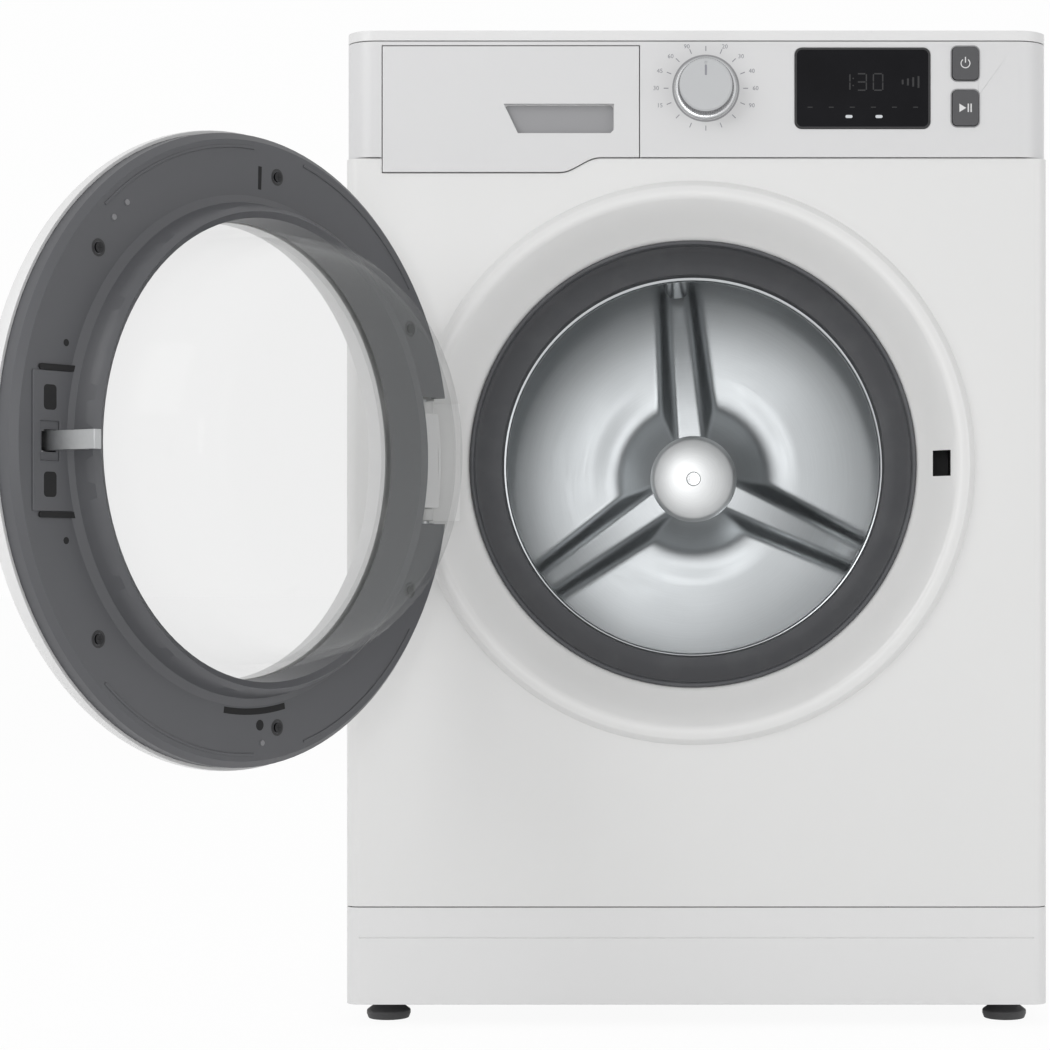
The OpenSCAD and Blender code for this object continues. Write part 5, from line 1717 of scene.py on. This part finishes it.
@dataclass
class DoorDetails:
    """Small forms on the inner face of the door, drawn on the closed door and then swung open."""

    face: float = FRONT - 10.0
    swing: float = -joint("door_swing")["range_deg"][1]
    hinge: PlanePoint = joint_place("door_swing")[:2]
    centre: PlanePoint = (PORT_X, PORT_Z)
    latch: PlanePoint = (PORT_X + 211.0, PORT_Z)
    root: float = 0.5
    painted_shade_rise: float = 0.12
    plate_rise: float = 1.3
    collar: float = 194.0
    screw_ring: float = 216.25
    screw_angles: tuple[float, ...] = (-150.0, -97.0, -41.0, 41.0, 97.0, 150.0)

    def build(self) -> None:
        """Make the pieces of the door's inner face."""
        for name, draft, finish, bevel in (
            ("latch_plate", self._latch_plate(), DARK_GREY_PLASTIC, 0.5),
            ("latch_slots", self._latch_slots(), PAINTED_HOLE_SHADE, 0.0),
            ("frame_slit", self._slit(), PAINTED_HOLE_SHADE, 0.0),
            ("frame_sockets", self._sockets(), PAINTED_HOLE_SHADE, 0.0),
            ("frame_pips", self._pips(), PIP_GREY, 0.3),
            ("frame_rib", self._rib(), DARK_GREY_PLASTIC, 0.4),
            ("screw_well_shade", self._well_shade(), BLACK_PLASTIC, 0.0),
            ("screw_slots", self._crosses(), PAINTED_HOLE_SHADE, 0.0),
        ):
            piece(name, self._open(draft).mesh(name, bevel), "door", "dark_grey_plastic", finish)

    def _open(self, draft: Draft) -> Draft:
        """Swing a draft of the closed door to where the door stands.

        Args:
            draft: The draft.

        Returns:
            The same draft.
        """
        at = Vector(mm(*self.hinge, 0))
        turn = Matrix.Rotation(math.radians(self.swing), 4, "Z")
        draft.bm.transform(Matrix.Translation(at) @ turn @ Matrix.Translation(-at))
        return draft

    def _polar(self, radius: float, angle: float) -> PlanePoint:
        """Point in the door's plane at a radius and an angle in degrees."""
        a = math.radians(angle)
        return self.centre[0] + radius * math.cos(a), self.centre[1] + radius * math.sin(a)

    def _band(
        self, draft: Draft, radii: tuple[float, float], angles: tuple[float, float], rise: float
    ) -> None:
        """Add a curved bar between two radii and two angles.

        Args:
            draft: The draft that it goes into.
            radii: Its inner and its outer radius.
            angles: Its first and its last angle in degrees.
            rise: How far it stands over the frame.
        """
        (inner, outer), (first, last) = radii, angles
        steps = max(4, int(abs(last - first) / 2))
        turns = [first + (last - first) * k / steps for k in range(steps + 1)]
        outline = [self._polar(outer, a) for a in turns] + [self._polar(inner, a) for a in turns[::-1]]
        draft.prism(outline, self.face - self.root, self.face + rise)

    def _disc(
        self, draft: Draft, place: PlanePoint, radius: float, rise: float, steps: int = 20
    ) -> None:
        """Add a round boss, or a black disc that paints the shade in a socket."""
        draft.prism(circle(place, radius, steps), self.face - self.root, self.face + rise)

    def _latch_plate(self) -> Draft:
        """Raised frame round the slot of the latch hook.

        Returns:
            The draft.
        """
        draft = Draft()
        x, z = self.latch
        for edge, side in ((x - 25, x - 9), (x + 16, x + 9)):
            bracket = [
                (edge, z - 50), (x, z - 50), (x, z - 14), (side, z - 14),
                (side, z + 14), (x, z + 14), (x, z + 50), (edge, z + 50),
            ]
            draft.prism(bracket, self.face - self.root, self.face + self.plate_rise)
        return draft.opened()

    def _latch_slots(self) -> Draft:
        """Dark slots over and under the hook, and the gap round it: black shapes that paint the shade inside them.

        Returns:
            The draft.
        """
        draft = Draft()
        x, z = self.latch
        top = self.face + self.plate_rise
        for side in (-1, 1):
            slot, gap = z + side * 52.5, z + side * 31
            groove = rounded_outline(x - 26, x + 10, slot - 2.2, slot + 2.2, 2.0, 4)
            draft.prism(groove, self.face - self.root, top + 0.12)
            hole = rounded_outline(x - 6, x + 6, gap - 9, gap + 9, 3.0, 4)
            draft.prism(hole, top - 0.5, top + 0.08)
        return draft

    def _slit(self) -> Draft:
        """Long drain slit under the glass: a black band that paints the shade inside it.

        Returns:
            The draft.
        """
        draft = Draft()
        self._band(draft, (self.collar + 4.5, self.collar + 9.5), (-100.0, -80.5), self.painted_shade_rise)
        return draft

    def _sockets(self) -> Draft:
        """Round sockets and the short groove at the top and bottom of the frame: black discs and a black band that
        paint the shade inside them.

        Returns:
            The draft.
        """
        draft = Draft()
        self._disc(draft, self._polar(self.collar + 18, -91.8), 4.2, self.painted_shade_rise)
        self._disc(draft, self._polar(self.collar + 13, 20.0), 2.6, self.painted_shade_rise)
        self._disc(draft, self._polar(self.collar + 13, -20.0), 2.6, self.painted_shade_rise)
        self._band(draft, (self.collar + 9, self.collar + 27), (91.3, 92.3), self.painted_shade_rise)
        return draft

    def _pips(self) -> Draft:
        """Small moulded pips.

        Returns:
            The draft.
        """
        draft = Draft()
        for off, angle in ((29, 52.8), (28, 48.2), (32, -92.3)):
            self._disc(draft, self._polar(self.collar + off, angle), 2.3, 0.9, 14)
        return draft

    def _rib(self) -> Draft:
        """Low ribs that follow the rim, broken where the screws and the hinge are.

        Returns:
            The draft.
        """
        draft = Draft()
        for angles in ((-143.0, -104.0), (-90.0, -48.0), (48.0, 90.0), (104.0, 143.0)):
            self._band(draft, (233.0, 235.2), angles, 0.8)
        return draft

    def _well_shade(self) -> Draft:
        """Flat black rings round the screws that paint the shade of the wells they sit in.

        Returns:
            The draft.
        """
        draft = Draft()
        section = ((6.6, 0.0), (6.6, 0.16), (4.7, 0.16), (4.7, 0.0))
        for angle in self.screw_angles:
            place = self._polar(self.screw_ring, angle)
            rings = [draft.ring(circle(place, radius, 24), self.face + rise) for radius, rise in section]
            draft.skin(rings, close=True)
        return draft

    def _crosses(self) -> Draft:
        """Cross recesses in the heads of the screws: black bars that paint the shade inside them.

        Returns:
            The draft.
        """
        draft = Draft()
        head = self._screw_top()
        for angle in self.screw_angles:
            x, z = self._polar(self.screw_ring, angle)
            for half_w, half_h in ((0.45, 2.2), (2.2, 0.45)):
                low = (x - half_w, head - 0.3, z - half_h)
                high = (x + half_w, head + 0.06, z + half_h)
                draft.box(low, high)
        return draft

    def _screw_top(self) -> float:
        """Depth of the outer faces of the screw heads, read from the CAD screws on the closed door.

        Returns:
            The depth in mm.
        """
        at = Vector(mm(*self.hinge, 0))
        back = Matrix.Rotation(math.radians(-self.swing), 4, "Z") @ Matrix.Translation(-at)
        points = frame["nodes"]["door_screws"].data.vertices
        return 1000 * max((back @ point.co).y for point in points) + self.hinge[1]


# ---------------------------------------------------------------- fascia


# Step of the dial and the number printed beside it
DIAL_NUMBERS = {
    1: "20", 2: "30", 3: "40", 4: "60", 5: "90", 11: "15", 12: "30", 13: "45", 14: "60", 15: "90",
}
# Segment of a figure: its place across and up from the figure's middle, and whether it lies flat
SEGMENTS = {
    "a": (0.0, 7.0, True), "b": (4.0, 3.5, False), "c": (4.0, -3.5, False), "d": (0.0, -7.0, True),
    "e": (-4.0, -3.5, False), "f": (-4.0, 3.5, False), "g": (0.0, 0.0, True),
}
# Figure and the segments that it shows
FIGURES = {"1": "bc", "3": "abcdg", "0": "abcdef"}


@dataclass
class ControlPanel:
    """Marks, display, knob ring, sleeve, knurl and pointer, and painted shade on the fascia and drawer front."""

    knob: PlanePoint = joint_place("programme_knob_turn")[::2]
    knob_radius: float = 26.5
    knob_height: float = 19.0
    knob_ribs: int = 72
    dial_steps: int = 16
    face: float = FRONT - 2.0
    display: tuple[float, float, float, float] = (84.0, 199.5, 766.2, 835.2)
    display_print: float = -272.72
    figures_z: float = 806.0
    button_x: float = 229.5
    button_half_width: float = 11.0
    button_print: float = -273.98
    buttons: tuple[tuple[str, float, float], ...] = (("power", 821.7, 28.0), ("start", 783.7, 30.0))
    grip: tuple[float, float, float, float] = (-164.5, -70.5, 762.5, 787.5)
    grip_floor: float = -265.9

    def build(self) -> None:
        """Make the pieces of the fascia."""
        piece("drawer_grip_shade", self._grip_shade(), "drawer", "white_plastic", PAINTED_SHADE_GREY)
        piece("dial_ticks", self._ticks(), "cabinet", "dark_grey_plastic")
        piece("dial_numbers", self._numbers(), "cabinet", "dark_grey_plastic", PRINT_GREY)
        piece("dial_shadow_ring", self._shadow_ring(), "cabinet", "dark_grey_plastic", PAINTED_SHADE_GREY)
        piece("knob_ring", self._ring(), "programme_knob", "light_grey_plastic", SATIN_CHROME)
        piece("knob_sleeve", self._sleeve(), "programme_knob", "light_grey_plastic", SLEEVE_METAL_SHADE)
        piece("knob_knurl", self._knurl(), "programme_knob", "light_grey_plastic")
        piece("knob_pointer", self._pointer(), "programme_knob", "dark_grey_plastic", PRINT_GREY)
        piece("display_segments", self._segments(), "cabinet", "black_display", UNLIT_MARK)
        piece("display_lights", self._lights(), "cabinet", "black_display", LIT_MARK)
        piece("display_touch_marks", self._touch_marks(), "cabinet", "black_display", UNLIT_MARK)
        piece("display_frame", self._frame(), "cabinet", "black_display", BLACK_PLASTIC)
        for name, z, _ in self.buttons:
            mark = self._symbol(name, z)
            piece(f"{name}_symbol", mark, f"{name}_button", "white_plastic", WHITE_PRINT)
        piece("button_surround", self._surrounds(), "cabinet", "white_plastic", PAINTED_SHADE_GREY)

    def _grip_shade(self) -> bpy.types.Mesh:
        """Grey plate on the floor of the finger recess in the drawer front, a painted shade of the recess.

        Returns:
            The mesh.
        """
        x0, x1, z0, z1 = self.grip
        outline = rounded_outline(x0 + 0.8, x1 - 0.8, z0 + 0.8, z1 - 0.8, 3.0)
        return Draft().prism(outline, self.grip_floor, self.grip_floor + 0.4).mesh("drawer_grip_shade")

    def _around(self, g: GeometryTree, count: Value, angle: Value, depth: float) -> Value:
        """Points in a circle around the knob's axis, at the tree's radius.

        Args:
            g: The tree that they go into.
            count: Number of points.
            angle: Angle of each point.
            depth: Depth of all points, in mm.

        Returns:
            The points.
        """
        line = g.node("GeometryNodeMeshLine", None, {"Count": count, "Offset": (0.0, 0.0, 0.0)})
        x = g.size("Radius") * angle.cosine() + mm(self.knob[0])
        z = g.size("Radius") * angle.sine() + mm(self.knob[1])
        return g.moved(line, g.vector(x, mm(depth), z))

    def _ticks(self) -> bpy.types.Mesh:
        """Short printed bars around the knob, one for each programme.

        Returns:
            The mesh.
        """
        sizes = {"Radius": mm(34.0), "Length": mm(4.2), "Width": mm(0.7), "Steps": self.dial_steps}
        g = GeometryTree("dial_ticks", sizes)
        angle = g.index() * (2 * math.pi / self.dial_steps) + math.pi / 2
        points = self._around(g, g.size("Steps"), angle, self.face - 0.05)
        size = g.vector(g.size("Length"), mm(0.12), g.size("Width"))
        bar = g.node("GeometryNodeMeshCube", None, {"Size": size})
        x, _, z = g.parts(g.node("GeometryNodeInputPosition"))
        turn = g.facing(g.vector(x - mm(self.knob[0]), 0.0, z - mm(self.knob[1])), "X")
        return g.result(g.copies(points, g.dressed(bar, PRINT_GREY.material()), turn))

    def _numbers(self) -> bpy.types.Mesh:
        """Plain numbers beside some of the dial's bars.

        Returns:
            The mesh.
        """
        draft = Draft()
        cx, cz = self.knob
        for step, word in DIAL_NUMBERS.items():
            curve = bpy.data.curves.new("number", "FONT")
            curve.body = word
            curve.size = mm(5.2)
            curve.align_x = "CENTER"
            curve.align_y = "CENTER"
            curve.extrude = mm(0.06)
            curve.resolution_u = 2
            holder = bpy.data.objects.new("number", curve)
            bpy.context.scene.collection.objects.link(holder)
            shown = holder.evaluated_get(bpy.context.evaluated_depsgraph_get())
            text = bpy.data.meshes.new_from_object(shown)
            bpy.data.objects.remove(holder)
            a = math.pi / 2 - step * 2 * math.pi / self.dial_steps
            place = mm(cx + 42.5 * math.cos(a), self.face - 0.06, cz + 38.5 * math.sin(a))
            text.transform(Matrix.Translation(place) @ Matrix.Rotation(math.pi / 2, 4, "X"))
            draft.bm.from_mesh(text)
        return draft.plain_mesh("dial_numbers", 0.0, 30, 1)

    def _turned(self, line: Sequence[PlanePoint]) -> Draft:
        """Turn a closed line around the knob's axis.

        Args:
            line: Points of (radius, height over the fascia), in mm.

        Returns:
            The draft.
        """
        draft = Draft()
        rings = [draft.ring(circle(self.knob, radius, 96), self.face - rise) for radius, rise in line]
        return draft.skin(rings, close=True)

    def _shadow_ring(self) -> bpy.types.Mesh:
        """Shallow painted shadow: a grey ring that the knob turns in.

        Returns:
            The mesh.
        """
        inner, outer = self.knob_radius + 0.7, self.knob_radius + 2.2
        line = [(inner, 0.02), (inner, 0.14), (outer, 0.14), (outer, 0.02)]
        return self._turned(line).mesh("dial_shadow_ring")

    def _ring(self) -> bpy.types.Mesh:
        """Satin ring round the foot of the knob.

        Returns:
            The mesh.
        """
        r = self.knob_radius
        line = [
            (r - 3.2, 4.02), (r - 1.0, 4.05), (r - 0.25, 3.7), (r + 0.15, 2.9),
            (r + 0.15, 1.2), (r - 0.2, 0.7), (r - 3.2, 0.7),
        ]
        return self._turned(line).mesh("knob_ring", sharp=40)

    def _sleeve(self) -> bpy.types.Mesh:
        """Dark satin sleeve round the grip of the knob; its dark tone also paints the shade on the knob's side.

        Returns:
            The mesh.
        """
        r, h = self.knob_radius - 3, self.knob_height
        line = [
            (r - 1.2, h - 1.9), (r - 0.75, h - 1.7), (r - 0.6, h - 2.6),
            (r + 0.2, 4.6), (r + 0.2, 3.9), (r - 1.2, 3.9),
        ]
        return self._turned(line).mesh("knob_sleeve", sharp=40)

    def _knurl(self) -> bpy.types.Mesh:
        """Fine upright ribs round the grip of the knob.

        Returns:
            The mesh.
        """
        sizes = {"Radius": mm(self.knob_radius - 3.25), "Rib": mm(0.55), "Count": self.knob_ribs}
        g = GeometryTree("knob_knurl", sizes)
        angle = g.index() * (2 * math.pi / self.knob_ribs)
        points = self._around(g, g.size("Count"), angle, self.face - 10.6)
        bar = {"Vertices": 8, "Radius": g.size("Rib"), "Depth": mm(12.4)}
        rib = g.dressed(g.smooth(g.node("GeometryNodeMeshCylinder", None, bar)), SLEEVE_METAL_SHADE.material())
        x, _, z = g.parts(g.node("GeometryNodeInputPosition"))
        lean = g.vector((mm(self.knob[0]) - x) * 0.08, -0.0235, (mm(self.knob[1]) - z) * 0.08)
        return g.result(g.copies(points, rib, g.facing(lean)))

    def _pointer(self) -> bpy.types.Mesh:
        """Printed pointer on the face of the knob.

        Returns:
            The mesh.
        """
        cx, cz = self.knob
        y = self.face - self.knob_height
        outline = [
            (cx - 0.9, cz + 8), (cx + 0.9, cz + 8), (cx + 0.9, cz + 16.2),
            (cx, cz + 17.2), (cx - 0.9, cz + 16.2),
        ]
        return Draft().prism(outline, y - 0.05, y + 0.3).mesh("knob_pointer")

    @staticmethod
    def _bar(draft: Draft, x: float, z: float, w: float, h: float, y: float) -> None:
        """Add one thin bar or segment to a draft."""
        draft.box((x - w / 2, y, z - h / 2), (x + w / 2, y + 0.25, z + h / 2))

    def _segments(self) -> bpy.types.Mesh:
        """Seven-segment figures of the display, at rest.

        Returns:
            The mesh.
        """
        draft = Draft()
        y, middle = self.display_print, self.figures_z
        for x, figure in ((127.0, "1"), (141.0, "3"), (155.0, "0")):
            for segment in FIGURES[figure]:
                across, up, flat = SEGMENTS[segment]
                width, height = (6.4, 1.1) if flat else (1.1, 6.2)
                self._bar(draft, x + across, middle + up, width, height, y)
        for up in (3, -3):
            self._bar(draft, 133.8, middle + up, 1.1, 1.1, y)
        return draft.mesh("display_segments")

    def _lights(self) -> bpy.types.Mesh:
        """Two lit marks at the lower edge of the display.

        Returns:
            The mesh.
        """
        draft = Draft()
        for x in (130.2, 155.8):
            draft.prism(rounded_outline(x - 3, x + 3, 775.2, 777.8, 1.2, 4), -272.74, -272.5)
        return draft.mesh("display_lights")

    def _touch_marks(self) -> bpy.types.Mesh:
        """Row of small unlit bars under the figures, and rising bars beside them.

        Returns:
            The mesh.
        """
        draft = Draft()
        for k in range(6):
            self._bar(draft, 97 + 18 * k, 784.5, 4.2, 0.8, self.display_print)
        for k in range(4):
            self._bar(draft, 176 + 4.5 * k, self.figures_z, 1.6, 4 + 2 * k, self.display_print)
        return draft.mesh("display_touch_marks")

    def _frame(self) -> bpy.types.Mesh:
        """Thin raised frame round the display window.

        Returns:
            The mesh.
        """
        x0, x1, z0, z1 = self.display
        outer = rounded_outline(x0, x1, z0, z1, 6.0)
        inner = rounded_outline(x0 + 1.6, x1 - 1.6, z0 + 1.6, z1 - 1.6, 4.6)
        return Draft().border(outer, inner, -272.55, -272.85).mesh("display_frame")

    def _symbol(self, name: str, z: float) -> bpy.types.Mesh:
        """Plain symbol on a button: a ring with a bar, or a triangle with two bars.

        Args:
            name: Name of the button.
            z: Height of the button's middle.

        Returns:
            The mesh.
        """
        draft = Draft()
        x, y = self.button_x, self.button_print
        if name == "power":
            steps = 28
            arc = [math.radians(125 + 290 * k / steps) for k in range(steps + 1)]
            outline = [(x + 4.2 * math.cos(a), z + 4.2 * math.sin(a)) for a in arc]
            outline += [(x + 3.4 * math.cos(a), z + 3.4 * math.sin(a)) for a in reversed(arc)]
            draft.prism(outline, y, y + 0.2)
            self._bar(draft, x, z + 3.0, 0.9, 5.0, y - 0.02)
        else:
            draft.prism([(x - 5.2, z - 3.6), (x + 0.6, z), (x - 5.2, z + 3.6)], y, y + 0.2)
            for k in (2.4, 4.8):
                self._bar(draft, x + k, z, 1.1, 7.2, y)
        return draft.mesh(f"{name}_symbol")

    def _surrounds(self) -> bpy.types.Mesh:
        """Soft shadow lines round the two buttons.

        Returns:
            The mesh.
        """
        draft = Draft()
        x = self.button_x
        for _, z, height in self.buttons:
            lines = []
            for gap, corner in ((1.6, 5.6), (0.6, 4.6)):
                w, h = self.button_half_width + gap, height / 2 + gap
                lines.append(rounded_outline(x - w, x + w, z - h, z + h, corner))
            draft.border(*lines, self.face, self.face - 0.2)
        return draft.mesh("button_surround")


# ---------------------------------------------------------------- stage


@dataclass
class Stage:
    """Pale floor, white surroundings, soft lamps and the camera."""

    camera_at: Point = (0.0, -2.670, 0.3877)
    lens: float = 96.3
    shift: tuple[float, float] = (-0.1633, 0.0448)
    world_light: float = 0.66
    world_seen: float = 0.988
    floor_reach: float = 40000.0
    floor_glow: float = 0.94

    def build(self) -> None:
        """Make the camera, the floor, the world and the lamps."""
        bpy.context.scene.view_settings.view_transform = "Standard"
        self._camera()
        self._floor()
        self._world()
        self._lamp("key_lamp", (-1.9, -2.1, 1.9), (0, 0, 0.45), size=1.6, power=21)
        self._lamp("fill_lamp", (2.0, -1.9, 0.7), (0, 0, 0.25), size=1.6, power=7)
        self._lamp("front_lamp", (-0.3, -3.0, 0.7), (0, 0, 0.4), size=0.7, power=5)
        self._lamp("rear_lamp", (0.8, 2.6, 1.5), (0, 0, 0.4), size=2.0, power=9)

    def _camera(self) -> None:
        """Make the camera that looks straight at the front."""
        data = bpy.data.cameras.new("camera")
        data.sensor_width = 36
        data.lens = self.lens
        data.shift_x, data.shift_y = self.shift
        data.clip_start, data.clip_end = 0.05, 120
        camera = bpy.data.objects.new("camera", data)
        camera.location = self.camera_at
        camera.rotation_euler = (math.radians(90), 0, 0)
        bpy.context.scene.collection.objects.link(camera)
        bpy.context.scene.camera = camera

    def _floor(self) -> None:
        """Make the floor, which shows white to the camera and keeps the shadow."""
        draft = Draft()
        end = self.floor_reach
        corners = [(-end, -end), (end, -end), (end, end), (-end, end)]
        draft.bm.faces.new([draft.bm.verts.new(mm(x, y, 0)) for x, y in corners])
        s = Shader("floor_white")
        path = s.node("ShaderNodeLightPath")
        outs = path.socket.node.outputs
        seen = Value(s, outs["Is Camera Ray"]).most(Value(s, outs["Is Glossy Ray"]))
        seen = seen.most(Value(s, outs["Is Transmission Ray"]))
        matt = s.node("ShaderNodeBsdfDiffuse", None, {"Color": (1.0, 1.0, 1.0, 1.0)})
        lit = s.node("ShaderNodeEmission", None, {"Color": (1.0, 1.0, 1.0, 1.0), "Strength": 1.0})
        mixed = s.node("ShaderNodeMixShader", None, {0: seen * self.floor_glow, 1: matt, 2: lit})
        s.node("ShaderNodeOutputMaterial", None, {"Surface": mixed})
        mesh = bpy.data.meshes.new("floor")
        draft.bm.to_mesh(mesh)
        mesh.materials.append(s.material)
        floor = bpy.data.objects.new("floor", mesh)
        bpy.context.scene.collection.objects.link(floor)

    def _world(self) -> None:
        """Make the surroundings: white where they are seen, softer as light."""
        world = bpy.data.worlds.new("studio")
        bpy.context.scene.world = world
        world.use_nodes = True
        world.node_tree.nodes.clear()
        g = Graph(world.node_tree)
        outs = g.node("ShaderNodeLightPath").socket.node.outputs
        seen = Value(g, outs["Is Camera Ray"]).most(Value(g, outs["Is Transmission Ray"]))
        glossy = Value(g, outs["Is Glossy Ray"])
        strength = self.world_light + (self.world_seen - self.world_light) * seen.most(glossy * 0.6)
        white = (1.0, 1.0, 1.0, 1.0)
        shade = g.node("ShaderNodeBackground", None, {"Color": white, "Strength": strength})
        g.node("ShaderNodeOutputWorld", None, {"Surface": shade})

    @staticmethod
    def _lamp(name: str, at: Point, to: Point, size: float, power: float) -> None:
        """Make one square soft lamp that points at a place.

        Args:
            name: Name of the lamp.
            at: Where it stands, in metres.
            to: Place that it points at, in metres.
            size: Side of the square, in metres.
            power: Power in watts.
        """
        data = bpy.data.lights.new(name, "AREA")
        data.size = size
        data.energy = power
        lamp = bpy.data.objects.new(name, data)
        lamp.location = at
        lamp.rotation_euler = (Vector(to) - Vector(at)).to_track_quat("-Z", "Y").to_euler()
        bpy.context.scene.collection.objects.link(lamp)


def main() -> None:
    """Build the machine's visual model over its frame."""
    Stage().build()
    Dressing().build()
    CabinetDetails().build()
    SoftLinks().build()
    Gasket().build()
    Drum().build()
    DoorDetails().build()
    ControlPanel().build()


if __name__ == "__main__":
    main()
